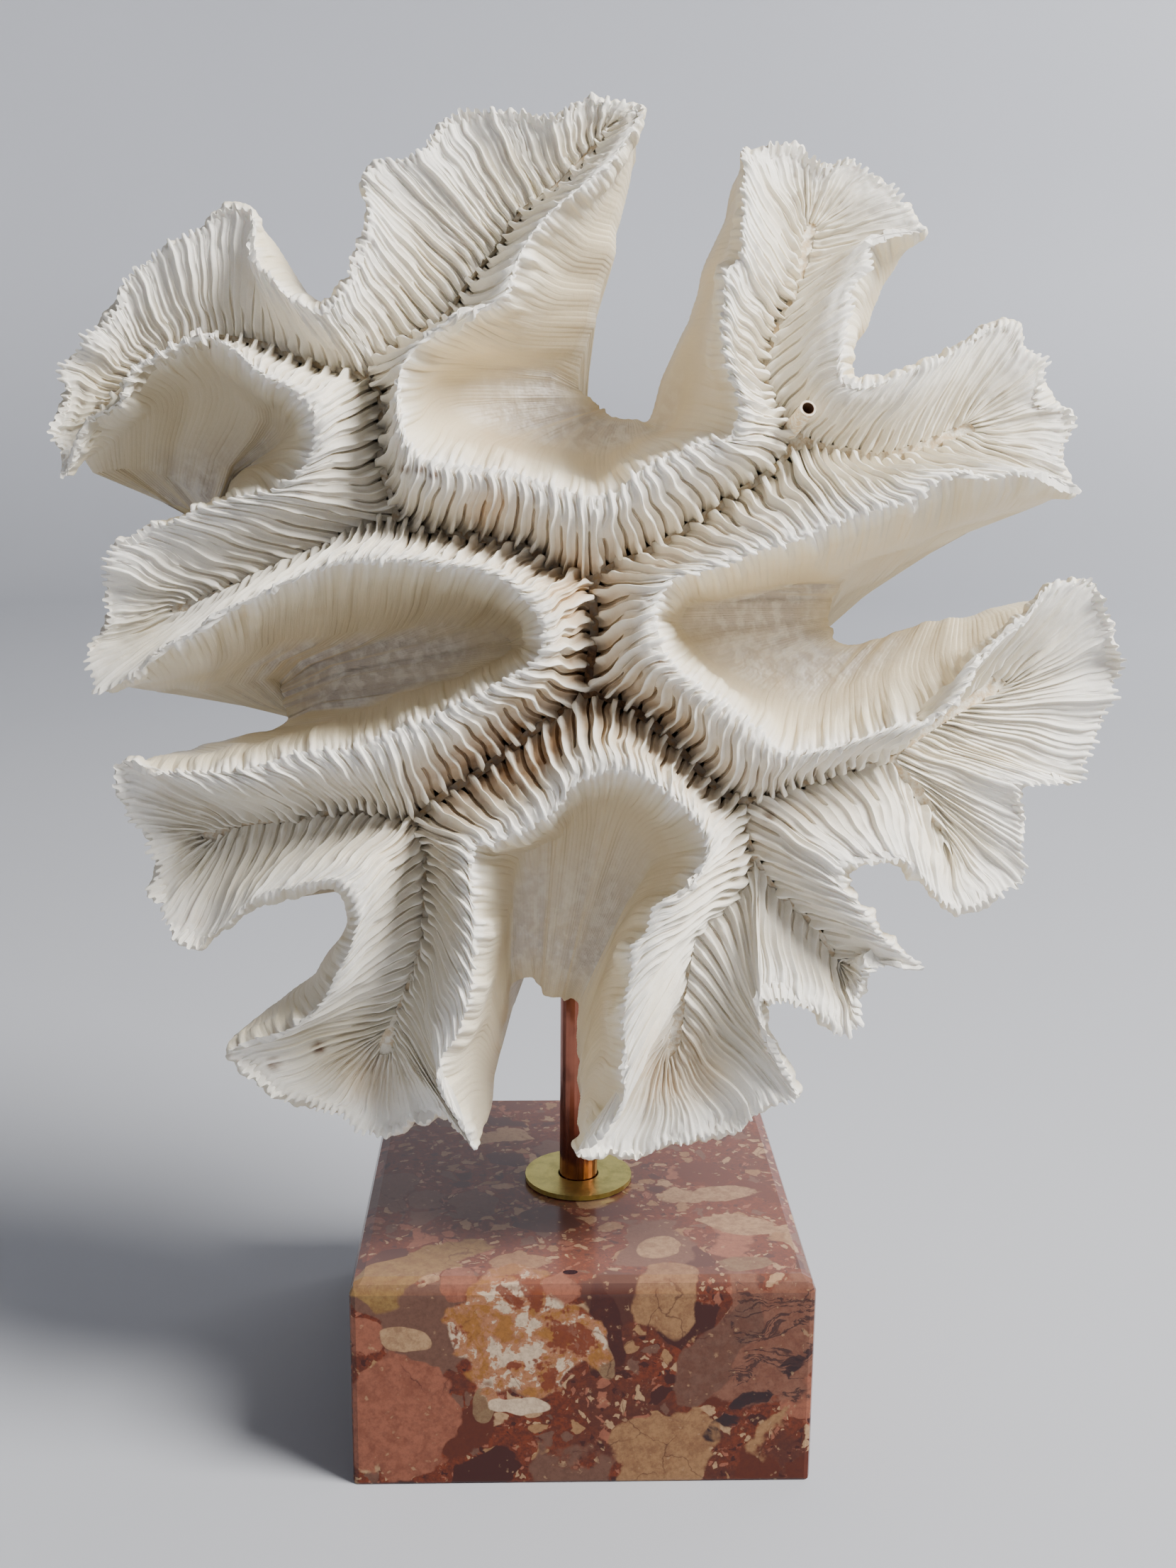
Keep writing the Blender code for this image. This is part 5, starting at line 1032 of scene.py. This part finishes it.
def sheet_colours(sheet):
    """Numbers from the sheet's own shape that its material reads."""
    forward, _, _ = view_axes()
    points = sheet["points"]
    rows, columns = points.shape[:2]
    outside = rows - len(INSIDE_SHARES)
    along = np.roll(points, -3, axis=1) - np.roll(points, 3, axis=1)
    facing = -(unit(np.cross(np.gradient(points, axis=0), along)) @ forward)
    behind, across, height = on_plane(points)
    s = np.array(INSIDE_SHARES + (1.0,) * outside)[:, None]
    w = np.array((0.0,) * len(INSIDE_SHARES) + OUTSIDE_SHARES)[:, None]
    gap = np.clip(-sheet["relief"] / DEEP_GAP, 0, 1)
    floor = eased((behind - FLOOR_BEHIND) / 8) * eased((facing - 0.45) / 0.4) * eased((w - 0.3) / 0.2)
    middle = near_centre(across, height)
    x, y, wide, high = BROWN_CORE
    core = np.exp(-(((across - x) / wide) ** 2 + ((height - y) / high) ** 2))
    brown = (0.65 * middle**1.5 + 0.45 * core) * (1 - w)
    brown = brown * eased((0.42 + 0.3 * core - s) / 0.42) * (0.1 + 0.9 * eased(gap / 0.5))
    stretched = np.linalg.norm(along, axis=2) / sheet["spacing"]
    lines = eased((stretched - 0.35) / 0.5) * eased(w / 0.06) * (1 - 0.8 * eased((w - 0.3) / 0.3))
    found = dict(
        # Painted shade that deepens with the gap between septa, with real tan stain added where the valleys
        # meet
        gap_shade_and_stain=np.clip(np.sqrt(gap) * (0.16 + 0.9 * middle) * (1 - w), 0, 1),
        brown=np.clip(brown, 0, 1),
        yellow=np.clip(near_spots(YELLOW_SPOTS, across, height) * (0.45 + 0.55 * gap), 0, 1),
        # Painted shade on the fans that face away from the light, stronger in the gaps
        fan_shade=np.clip(near_spots(FAN_SHADE_SPOTS, across, height) * (0.6 + 0.4 * gap) * (1 - w), 0, 1),
        dark=np.clip(near_spots(DARK_SPOTS, across, height, 2) * eased(gap / 0.2), 0, 1),
        floor=floor,
        wall=w,
        crest=eased((s - 0.5) / 0.4) * (1 - eased(w / 0.08)) * (1 - 0.5 * gap),
        lines=lines * (1 - floor),
        # Painted shade on the outer walls of the hollows, between the rim and the base
        hollow=eased((w - 0.12) / 0.3) * (1 - eased((w - 0.62) / 0.2)),
        place=np.arange(columns) * sheet["spacing"] / COLUMNS_EACH,
    )
    return {key: np.broadcast_to(values, (rows, columns)) for key, values in found.items()}


def sheet_piece(name, sheet, colours, first, last, material):
    """Part of the sheet, from one gap to another, as its own mesh."""
    rows, columns = sheet["points"].shape[:2]
    own = np.arange(first, last + 1) % columns
    count = len(own)
    forward, _, _ = view_axes()
    skirt = sheet["points"][0, own] + forward * SKIRT_DEPTH
    points = np.concatenate([skirt[None], sheet["points"][:, own]])
    index = np.arange((rows + 1) * count).reshape(rows + 1, count)
    corners = [index[:-1, :-1], index[1:, :-1], index[1:, 1:], index[:-1, 1:]]
    quads = np.stack(corners, axis=-1).reshape(-1, 4)
    mesh = bpy.data.meshes.new(name)
    mesh.vertices.add(points.shape[0] * count)
    mesh.vertices.foreach_set("co", (points.reshape(-1, 3) * MM).astype(np.float32).ravel())
    mesh.loops.add(quads.size)
    mesh.loops.foreach_set("vertex_index", quads.astype(np.int32).ravel())
    mesh.polygons.add(len(quads))
    mesh.polygons.foreach_set("loop_start", np.arange(0, quads.size, 4, dtype=np.int32))
    mesh.update(calc_edges=True)
    for key, values in colours.items():
        layer = mesh.attributes.new(key, "FLOAT", "POINT")
        part = values[:, own].astype(float)
        if key == "place" and last > columns:
            part = np.where(own < first, part + sheet["whole"], part)
        layer.data.foreach_set("value", np.concatenate([part[:1], part]).astype(np.float32).ravel())
    mesh.shade_smooth()
    mesh.set_sharp_from_angle(angle=SHARP_ANGLE)
    return new_object(name, mesh, material)


def new_object(name, mesh, material):
    obj = bpy.data.objects.new(name, mesh)
    bpy.context.scene.collection.objects.link(obj)
    mesh.materials.append(material)
    return obj


def from_faces(name, points, faces, material):
    """A smooth mesh object from points in millimetres."""
    mesh = bpy.data.meshes.new(name)
    mesh.from_pydata([tuple(p) for p in np.asarray(points) * MM], [], faces)
    mesh.update()
    mesh.shade_smooth()
    return new_object(name, mesh, material)


def valley_floor(sheet, material):
    """The floor at the bottom of the valleys, between the feet of the septa on both sides."""
    forward, right, up = view_axes()
    edge = sheet["points"][0, ::COLUMNS_EACH] + forward * FLOOR_DEPTH
    flat = [(float(p @ right), float(p @ up), 0.0) for p in edge]
    floor = from_faces("coral_valley_floor", edge, [tuple(f) for f in tessellate_polygon([flat])], material)
    _, across, height = on_plane(edge)
    brown = near_centre(across, height)
    floor.data.attributes.new("brown", "FLOAT", "POINT").data.foreach_set("value", brown.astype(np.float32))
    return floor


def base_scar(sheet, material):
    """The rough broken end of the stem at the back."""
    random = np.random.default_rng(SEED + 2)
    ring = sheet["points"][-1, ::SCAR_STRIDE]
    middle = ring.mean(axis=0)
    shares = np.linspace(1, 0.06, SCAR_RINGS)
    rough = soft_noise(random, (len(shares), len(ring)), (1, 4))
    forward, _, _ = view_axes()
    points = [
        middle + (ring - middle) * share + forward * (0.5 * rough[i][:, None] * min(1.0, 3 * (1 - share)))
        for i, share in enumerate(shares)
    ]
    count = len(ring)
    faces = [
        (r * count + c, (r + 1) * count + c, (r + 1) * count + (c + 1) % count, r * count + (c + 1) % count)
        for r in range(len(shares) - 1) for c in range(count)
    ]
    faces.append(tuple(range((len(shares) - 1) * count, len(shares) * count))[::-1])
    return from_faces("coral_stem_scar", np.vstack(points), faces, material)


def start_material(name, **sockets):
    """A material with its shader node, and the shader's plain values set on its own sockets."""
    material = bpy.data.materials.new(name)
    material.use_nodes = True
    shader = material.node_tree.nodes["Principled BSDF"]
    for key, value in sockets.items():
        shader.inputs[key.replace("_", " ")].default_value = value
    return material, shader


def feed(material, socket, value):
    if isinstance(value, bpy.types.NodeSocket):
        material.node_tree.links.new(value, socket)
    else:
        socket.default_value = value


def add(material, kind, inputs, **settings):
    node = material.node_tree.nodes.new(kind)
    for key, value in settings.items():
        setattr(node, key, value)
    for key, value in inputs.items():
        feed(material, node.inputs[key], value)
    return node


def attribute(material, name):
    return add(material, "ShaderNodeAttribute", {}, attribute_name=name).outputs["Fac"]


def place_in(material):
    return add(material, "ShaderNodeTexCoord", {}).outputs["Object"]


def noise(material, where, scale, detail=3.0, rough=0.5, warp=0.0):
    inputs = {"Vector": where, "Scale": scale, "Detail": detail, "Roughness": rough, "Distortion": warp}
    return add(material, "ShaderNodeTexNoise", inputs).outputs["Fac"]


def number(material, operation, first, second=0.0):
    return add(material, "ShaderNodeMath", {0: first, 1: second}, operation=operation).outputs[0]


def times(material, first, second):
    return number(material, "MULTIPLY", first, second)


def span(material, value, low, high, to_low=0.0, to_high=1.0):
    inputs = {"Value": value, "From Min": low, "From Max": high, "To Min": to_low, "To Max": to_high}
    return add(material, "ShaderNodeMapRange", inputs, interpolation_type="SMOOTHSTEP").outputs["Result"]


def mixed(material, share, first, second, how="MIX"):
    node = add(material, "ShaderNodeMix", {0: share, 6: first, 7: second}, data_type="RGBA", blend_type=how)
    return node.outputs[2]


def bump(material, height, strength, distance, after=None):
    inputs = {"Height": height, "Strength": strength, "Distance": distance}
    if after is not None:
        inputs["Normal"] = after
    return add(material, "ShaderNodeBump", inputs).outputs["Normal"]


def scaled(material, where, factors):
    return add(material, "ShaderNodeVectorMath", {0: where, 1: factors}, operation="MULTIPLY").outputs[0]


def coral_material():
    """Cream skeleton: whiter crests, warm gaps whose darker depth is painted shade, brown valleys, lumpy pale
    hollows, and painted shade on the hollows' walls and on the fans that face away from the light.
    """
    m, shader = start_material("coral_skeleton", Roughness=0.6)
    shader.inputs["Subsurface Weight"].default_value = CORAL_SUBSURFACE
    shader.inputs["Subsurface Radius"].default_value = (1.0, 0.7, 0.4)
    shader.inputs["Subsurface Scale"].default_value = SUBSURFACE_REACH
    where = place_in(m)
    wall = attribute(m, "wall")
    broad = noise(m, where, 38.0, 3.0, 0.55)
    middle = noise(m, where, 150.0, 4.0, 0.6)
    lumps = noise(m, where, 480.0, 2.0, 0.5)
    grain = noise(m, where, 3200.0, 2.0, 0.6)
    patchy = span(m, middle, 0.3, 0.7, 0.6, 1.2)
    colour = mixed(m, span(m, broad, 0.35, 0.7), CREAM, PALE_CREAM)
    outer = mixed(m, span(m, broad, 0.35, 0.65), WALL_CREAM, WALL_SHADE)
    colour = mixed(m, span(m, wall, 0.03, 0.2), colour, outer)
    along = times(m, attribute(m, "place"), 0.035)
    growth = add(m, "ShaderNodeCombineXYZ", {0: along, 1: times(m, wall, 11.0)})
    banded = times(m, span(m, wall, 0.5, 0.65), span(m, attribute(m, "floor"), 0.0, 0.5, 1.0, 0.0))
    bands = times(m, noise(m, growth.outputs[0], 1.0, 3.0, 0.55), banded)
    colour = mixed(m, span(m, bands, 0.45, 0.7, 0.0, 0.4), colour, BAND_SHADE)
    colour = mixed(m, times(m, span(m, wall, 0.72, 1.0, 0.0, 0.6), patchy), colour, GAP_BEIGE)
    # Painted shade: a warm, darker tone on the walls of the hollows
    colour = mixed(m, times(m, attribute(m, "hollow"), 0.35), colour, HOLLOW_WARM_SHADE)
    # Painted shade deep in the gaps between septa, partly real stain near the centre
    colour = mixed(m, times(m, attribute(m, "gap_shade_and_stain"), patchy), colour, GAP_BEIGE)
    colour = mixed(m, times(m, attribute(m, "brown"), patchy), colour, VALLEY_BROWN)
    yellow = times(m, times(m, attribute(m, "yellow"), patchy), 0.6)
    colour = mixed(m, yellow, colour, YELLOW_STAIN)
    pit = mixed(m, span(m, lumps, 0.42, 0.64), FLOOR_GREY, FLOOR_WHITE)
    pit = mixed(m, span(m, broad, 0.52, 0.66, 0.0, 0.5), pit, FLOOR_OCHRE)
    colour = mixed(m, attribute(m, "floor"), colour, pit)
    # Painted shade on the fans that face away from the light, with less crest whitening there
    colour = mixed(m, times(m, attribute(m, "fan_shade"), 0.8), colour, PAINTED_FAN_SHADE)
    white = times(m, attribute(m, "crest"), span(m, attribute(m, "fan_shade"), 0.0, 1.0, 0.8, 0.3))
    colour = mixed(m, white, colour, CREST_WHITE)
    colour = mixed(m, span(m, middle, 0.58, 0.78, 0.0, 0.18), colour, WARM_STAIN)
    colour = mixed(m, span(m, grain, 0.35, 0.72, 0.0, 0.1), colour, GRAIN_SHADE)
    colour = mixed(m, times(m, attribute(m, "dark"), patchy), colour, VALLEY_DARK)
    feed(m, shader.inputs["Base Color"], colour)
    feed(m, shader.inputs["Roughness"], span(m, wall, 0.05, 0.3, 0.62, 0.4))
    along = times(m, attribute(m, "place"), 1.6)
    striae = add(m, "ShaderNodeCombineXYZ", {0: along, 1: times(m, wall, 5.0)}).outputs[0]
    ridged = times(m, noise(m, striae, 1.0, 3.0, 0.6), attribute(m, "lines"))
    rough_floor = times(m, lumps, span(m, attribute(m, "floor"), 0.0, 1.0, 0.3, 3.4))
    normal = bump(m, grain, 0.3, 0.0001)
    normal = bump(m, rough_floor, 0.5, 0.0005, normal)
    normal = bump(m, ridged, 0.45, 0.0005, normal)
    normal = bump(m, bands, 0.4, 0.0012, normal)
    feed(m, shader.inputs["Normal"], normal)
    return m


def rough_coral_material(name, first, second, third):
    """Lumpy, stained coral where no septa show."""
    m, shader = start_material(name, Roughness=0.75)
    where = place_in(m)
    lumps = noise(m, where, 700.0, 4.0, 0.6)
    broad = noise(m, where, 120.0, 3.0, 0.6)
    colour = mixed(m, span(m, lumps, 0.38, 0.64), first, second)
    colour = mixed(m, span(m, broad, 0.45, 0.65, 0.0, 0.8), colour, third)
    feed(m, shader.inputs["Base Color"], colour)
    feed(m, shader.inputs["Normal"], bump(m, lumps, 0.6, 0.0006))
    return m


def tube_material():
    """The worm tube: cream outside, with painted shade, dark brown, down its bore."""
    m, shader = start_material("worm_tube", Roughness=0.7)
    where = place_in(m)
    mouth = Vector(placed(TUBE_MOUTH)) * MM
    axis = (Vector(placed(TUBE_END)) * MM - mouth).normalized()
    from_mouth = add(m, "ShaderNodeVectorMath", {0: where, 1: mouth}, operation="SUBTRACT").outputs[0]
    turned = add(m, "ShaderNodeVectorMath", {0: from_mouth, 1: axis}, operation="CROSS_PRODUCT").outputs[0]
    radius = add(m, "ShaderNodeVectorMath", {0: turned}, operation="LENGTH").outputs["Value"]
    lumps = noise(m, where, 900.0, 4.0, 0.6)
    colour = mixed(m, span(m, lumps, 0.38, 0.64), CREAM, WARM_STAIN)
    # Painted shade: dark brown down the bore, where the hole lies in shade
    colour = mixed(m, span(m, radius, TUBE_BORE * 1.12 * MM, TUBE_BORE * 1.02 * MM), colour, VALLEY_DARK)
    feed(m, shader.inputs["Base Color"], colour)
    feed(m, shader.inputs["Normal"], bump(m, lumps, 0.4, 0.0002))
    return m


def valley_material():
    """Valley floors: cream in the lobes and brown where the valleys meet."""
    m, shader = start_material("valley_floor", Roughness=0.8)
    where = place_in(m)
    lumps = noise(m, where, 700.0, 4.0, 0.6)
    broad = noise(m, where, 150.0, 3.0, 0.6)
    pale = mixed(m, span(m, lumps, 0.38, 0.64), CREAM, GAP_BEIGE)
    deep = mixed(m, span(m, lumps, 0.4, 0.62), VALLEY_DARK, VALLEY_BROWN)
    share = times(m, attribute(m, "brown"), span(m, broad, 0.35, 0.6, 0.6, 1.1))
    feed(m, shader.inputs["Base Color"], mixed(m, share, pale, deep))
    feed(m, shader.inputs["Normal"], bump(m, lumps, 0.6, 0.0006))
    return m


def clasts(material, where, colour, scale, share, gap, hues, seed):
    """Angular pieces of other stone set in a colour, of one size."""
    offset = (seed, seed * 0.7, seed * 1.3)
    moved = add(material, "ShaderNodeVectorMath", {0: where, 1: offset}, operation="ADD")
    inputs = {"Vector": moved.outputs[0], "Scale": scale, "Randomness": 1.0}
    cell = add(material, "ShaderNodeTexVoronoi", inputs, feature="F1").outputs["Color"]
    edge = add(material, "ShaderNodeTexVoronoi", inputs, feature="DISTANCE_TO_EDGE").outputs["Distance"]
    parts = add(material, "ShaderNodeSeparateColor", {0: cell})
    ramp = add(material, "ShaderNodeValToRGB", {0: parts.outputs[0]})
    ramp.color_ramp.interpolation = "CONSTANT"
    for _ in hues[2:]:
        ramp.color_ramp.elements.new(0.5)
    for index, hue in enumerate(hues):
        ramp.color_ramp.elements[index].position = index / len(hues)
        ramp.color_ramp.elements[index].color = hue
    shown = number(material, "LESS_THAN", parts.outputs[1], share)
    inside = span(material, edge, gap, gap * 1.8 + 0.01)
    return mixed(material, times(material, shown, inside), colour, ramp.outputs[0])


def patch(material, where, ragged, middle, radii, turn):
    """1 inside a ragged oval round a point in millimetres, turned by angles in degrees."""
    inputs = {
        "Vector": where,
        "Location": tuple(value * MM for value in middle),
        "Rotation": tuple(radians(value) for value in turn),
        "Scale": tuple(value * MM for value in radii),
    }
    moved = add(material, "ShaderNodeMapping", inputs, vector_type="TEXTURE").outputs[0]
    away = add(material, "ShaderNodeVectorMath", {0: moved}, operation="LENGTH").outputs["Value"]
    return span(material, number(material, "ADD", away, ragged), 1.05, 0.95)


def marble_material():
    """Polished red breccia: angular pieces of pink, beige, grey and maroon stone in a rust-red ground."""
    m, shader = start_material("red_breccia", Roughness=0.2)
    shader.inputs["Specular IOR Level"].default_value = 0.3
    where = place_in(m)
    warp = add(m, "ShaderNodeTexNoise", {"Vector": where, "Scale": 110.0, "Detail": 5.0}).outputs["Color"]
    pushed = add(m, "ShaderNodeVectorMath", {0: warp, 1: (0.5, 0.5, 0.5)}, operation="SUBTRACT").outputs[0]
    warped = add(
        m, "ShaderNodeVectorMath", {0: pushed, 1: (0.009, 0.009, 0.009), 2: where}, operation="MULTIPLY_ADD",
    ).outputs[0]
    fine = noise(m, where, 1100.0, 5.0, 0.75)
    speckle = noise(m, where, 380.0, 4.0, 0.75)
    broad = noise(m, where, 55.0, 4.0, 0.6)
    colour = mixed(m, span(m, fine, 0.35, 0.65), RUST, DARK_RUST)
    colour = mixed(m, span(m, broad, 0.48, 0.66, 0.0, 0.75), colour, PURPLE_BROWN)
    colour = mixed(m, span(m, speckle, 0.6, 0.68, 0.0, 0.6), colour, PINK)
    for scale, share, gap, hues, seed in CLAST_SIZES:
        colour = clasts(m, warped, colour, scale, share, gap, hues, seed)
    ragged = span(m, noise(m, warped, 95.0, 2.0, 0.5), 0.3, 0.7, -0.28, 0.28)
    for hue, middle, radii, turn in STONE_PATCHES:
        clouded = mixed(m, span(m, speckle, 0.4, 0.62, 0.0, 0.35), hue, DARK_RUST)
        colour = mixed(m, patch(m, where, ragged, middle, radii, turn), colour, clouded)
    crystal = patch(m, where, ragged, *CRYSTAL_PATCH)
    blotch = noise(m, warped, 190.0, 4.0, 0.65)
    crystals = mixed(m, span(m, blotch, 0.42, 0.5), CRYSTAL_OCHRE, CRYSTAL_TAN)
    crystals = mixed(m, span(m, blotch, 0.52, 0.57), crystals, CRYSTAL_WHITE)
    crystals = mixed(m, span(m, noise(m, where, 150.0, 4.0, 0.6), 0.58, 0.62, 0.0, 0.9), crystals, RUST)
    colour = mixed(m, crystal, colour, crystals)
    colour = mixed(m, patch(m, where, ragged, *CRYSTAL_EDGE), colour, CRYSTAL_WHITE)
    inputs = {"Vector": warped, "Rotation": (0.0, VEIN_TILT, 0.0), "Scale": VEIN_SCALE}
    leaning = add(m, "ShaderNodeMapping", inputs).outputs[0]
    flowing = noise(m, leaning, 1.0, 4.0, 0.6, 0.8)
    veins = span(m, number(m, "ABSOLUTE", number(m, "SUBTRACT", flowing, 0.5)), 0.035, 0.008, 0.0, 0.8)
    colour = mixed(m, times(m, veins, patch(m, where, ragged, *VEINED_PATCH)), colour, VEIN_BLACK)
    dark_band = times(m, patch(m, where, ragged, *DARK_BAND), span(m, flowing, 0.42, 0.56))
    colour = mixed(m, dark_band, colour, VEIN_BLACK)
    cracks = add(m, "ShaderNodeTexVoronoi", {"Vector": warped, "Scale": 62.0}, feature="DISTANCE_TO_EDGE")
    hair = span(m, cracks.outputs["Distance"], 0.012, 0.0, 0.0, 0.6)
    colour = mixed(m, times(m, hair, span(m, broad, 0.5, 0.6)), colour, MAROON)
    colour = mixed(m, span(m, fine, 0.4, 0.66, 0.0, 0.3), colour, MAROON)
    specks = add(m, "ShaderNodeTexVoronoi", {"Vector": warped, "Scale": 520.0}, feature="F1")
    speck = span(m, specks.outputs["Distance"], 0.28, 0.14)
    speck = times(m, speck, span(m, speckle, 0.5, 0.6, 0.0, 0.55))
    colour = mixed(m, speck, colour, PALE_STONE)
    top = add(m, "ShaderNodeSeparateXYZ", {0: where}).outputs[2]
    colour = mixed(m, 1.0, colour, STONE_DEPTH, "MULTIPLY")
    # Painted sheen: a lighter film on the top face, from these heights upward
    colour = mixed(m, span(m, top, *SHEEN_HEIGHTS, 0.0, 0.24), colour, TOP_PAINTED_SHEEN)
    colour = mixed(m, patch(m, where, ragged, *TOP_PIT), colour, VEIN_BLACK)
    feed(m, shader.inputs["Base Color"], colour)
    feed(m, shader.inputs["Roughness"], span(m, fine, 0.3, 0.7, 0.12, 0.24))
    feed(m, shader.inputs["Normal"], bump(m, fine, 0.1, 0.00005))
    return m


def copper_material():
    """Polished copper rod, with fine lines along it and a brown film."""
    m, shader = start_material("copper", Metallic=1.0, Roughness=0.25)
    where = place_in(m)
    lines = noise(m, scaled(m, where, (900.0, 900.0, 12.0)), 1.0, 3.0, 0.6)
    film = noise(m, where, 120.0, 4.0, 0.6)
    colour = mixed(m, span(m, film, 0.4, 0.7, 0.0, 0.7), COPPER, COPPER_FILM)
    feed(m, shader.inputs["Base Color"], colour)
    feed(m, shader.inputs["Roughness"], span(m, lines, 0.3, 0.7, 0.16, 0.3))
    feed(m, shader.inputs["Normal"], bump(m, lines, 0.12, 0.0001))
    return m


def brass_material():
    """Satin brass disc, turned, with a greenish film."""
    m, shader = start_material("brass", Metallic=1.0, Roughness=0.4)
    where = place_in(m)
    parts = add(m, "ShaderNodeSeparateXYZ", {0: where})
    across = times(m, parts.outputs[0], parts.outputs[0])
    behind = times(m, parts.outputs[1], parts.outputs[1])
    radius = number(m, "SQRT", number(m, "ADD", across, behind))
    turned = add(m, "ShaderNodeCombineXYZ", {0: radius, 2: parts.outputs[2]}).outputs[0]
    rings = noise(m, turned, 5000.0, 3.0, 0.7)
    film = noise(m, where, 260.0, 4.0, 0.65)
    colour = mixed(m, span(m, film, 0.4, 0.7, 0.0, 0.6), BRASS, BRASS_FILM)
    feed(m, shader.inputs["Base Color"], colour)
    feed(m, shader.inputs["Roughness"], span(m, rings, 0.3, 0.7, 0.3, 0.48))
    feed(m, shader.inputs["Normal"], bump(m, rings, 0.2, 0.0001))
    return m


def stage_material():
    m, shader = start_material("studio_backdrop", Roughness=0.9)
    where = place_in(m)
    tone = noise(m, where, 3.0, 2.0, 0.5)
    high = add(m, "ShaderNodeSeparateXYZ", {0: where}).outputs[2]
    ground = mixed(m, tone, GROUND, GROUND_SHADE)
    wall = mixed(m, tone, BACKDROP, BACKDROP_SHADE)
    # Painted shade: the floor is darker than the wall, blending into it up to 0.4 m
    feed(m, shader.inputs["Base Color"], mixed(m, span(m, high, 0.0, 0.4), ground, wall))
    return m


def make_stage():
    """A floor that rises into a round wall, open above."""
    outline = [(0.0, 0.0), (FLOOR_RADIUS, 0.0)]
    for step in range(1, BEND_STEPS + 1):
        turn = step / BEND_STEPS * pi / 2
        outline.append((FLOOR_RADIUS + BEND_RADIUS * sin(turn), BEND_RADIUS * (1 - cos(turn))))
    outline.append((FLOOR_RADIUS + BEND_RADIUS, WALL_TOP))
    points = [(0.0, 0.0, 0.0)]
    faces = []
    for ring, (radius, height) in enumerate(outline[1:]):
        for side in range(STAGE_SIDES):
            turn = 2 * pi * side / STAGE_SIDES
            points.append((radius * cos(turn), radius * sin(turn), height))
            here = 1 + ring * STAGE_SIDES + side
            beside = 1 + ring * STAGE_SIDES + (side + 1) % STAGE_SIDES
            if ring == 0:
                faces.append((0, here, beside))
            else:
                faces.append((here - STAGE_SIDES, here, beside, beside - STAGE_SIDES))
    stage = from_faces("studio_backdrop", np.array(points) / MM, faces, stage_material())


def make_light(name, place, size, power, tint, target):
    """A round soft light that faces a point."""
    light = bpy.data.lights.new(name, "AREA")
    light.shape = "DISK"
    light.size = size
    light.energy = power
    light.color = tint
    obj = bpy.data.objects.new(name, light)
    bpy.context.scene.collection.objects.link(obj)
    obj.location = place
    toward = Vector(target) - Vector(place)
    obj.rotation_euler = toward.to_track_quat("-Z", "Y").to_euler()


def make_lights():
    for light in LIGHTS:
        make_light(*light)
    world = bpy.data.worlds.new("studio_world")
    world.use_nodes = True
    background = world.node_tree.nodes["Background"]
    background.inputs["Color"].default_value = WORLD_TINT
    background.inputs["Strength"].default_value = WORLD_STRENGTH
    bpy.context.scene.world = world


def make_camera():
    forward, right, up = view_axes()
    data = bpy.data.cameras.new("camera")
    data.lens = LENS
    data.sensor_width = SENSOR
    data.sensor_fit = "AUTO"
    data.clip_start = 0.01
    camera = bpy.data.objects.new("camera", data)
    bpy.context.scene.collection.objects.link(camera)
    columns = [Vector(right), Vector(up), -Vector(forward), Vector(VIEW_POINT) * MM]
    camera.matrix_world = Matrix([[column[row] for column in columns] for row in range(3)] + [(0, 0, 0, 1)])
    bpy.context.scene.camera = camera


def dress(node, material):
    """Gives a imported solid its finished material."""
    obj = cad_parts[node]
    for slot in obj.material_slots:
        slot.material = material


def make_coral():
    material = coral_material()
    sheet = coral_sheet()
    colours = sheet_colours(sheet)
    cuts = [COLUMNS_EACH * (sheet["septa"] * piece // PIECES) for piece in range(PIECES + 1)]
    pieces = []
    for piece, (first, last) in enumerate(zip(cuts[:-1], cuts[1:])):
        pieces.append(sheet_piece(f"coral_septa_{piece + 1}", sheet, colours, first, last, material))
    pieces.append(valley_floor(sheet, valley_material()))
    pieces.append(base_scar(sheet, rough_coral_material("stem_scar", CREAM, GAP_BEIGE, WALL_SHADE)))
    coral_nodes = [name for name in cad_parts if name.startswith("coral_")]
    for piece in pieces:
        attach(piece, "root")
        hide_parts(*coral_nodes)


def main():
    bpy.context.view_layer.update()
    make_coral()
    dress("marble_block", marble_material())
    dress("copper_rod", copper_material())
    dress("brass_disc", brass_material())
    dress("worm_tube", tube_material())
    make_stage()
    make_lights()
    make_camera()


main()
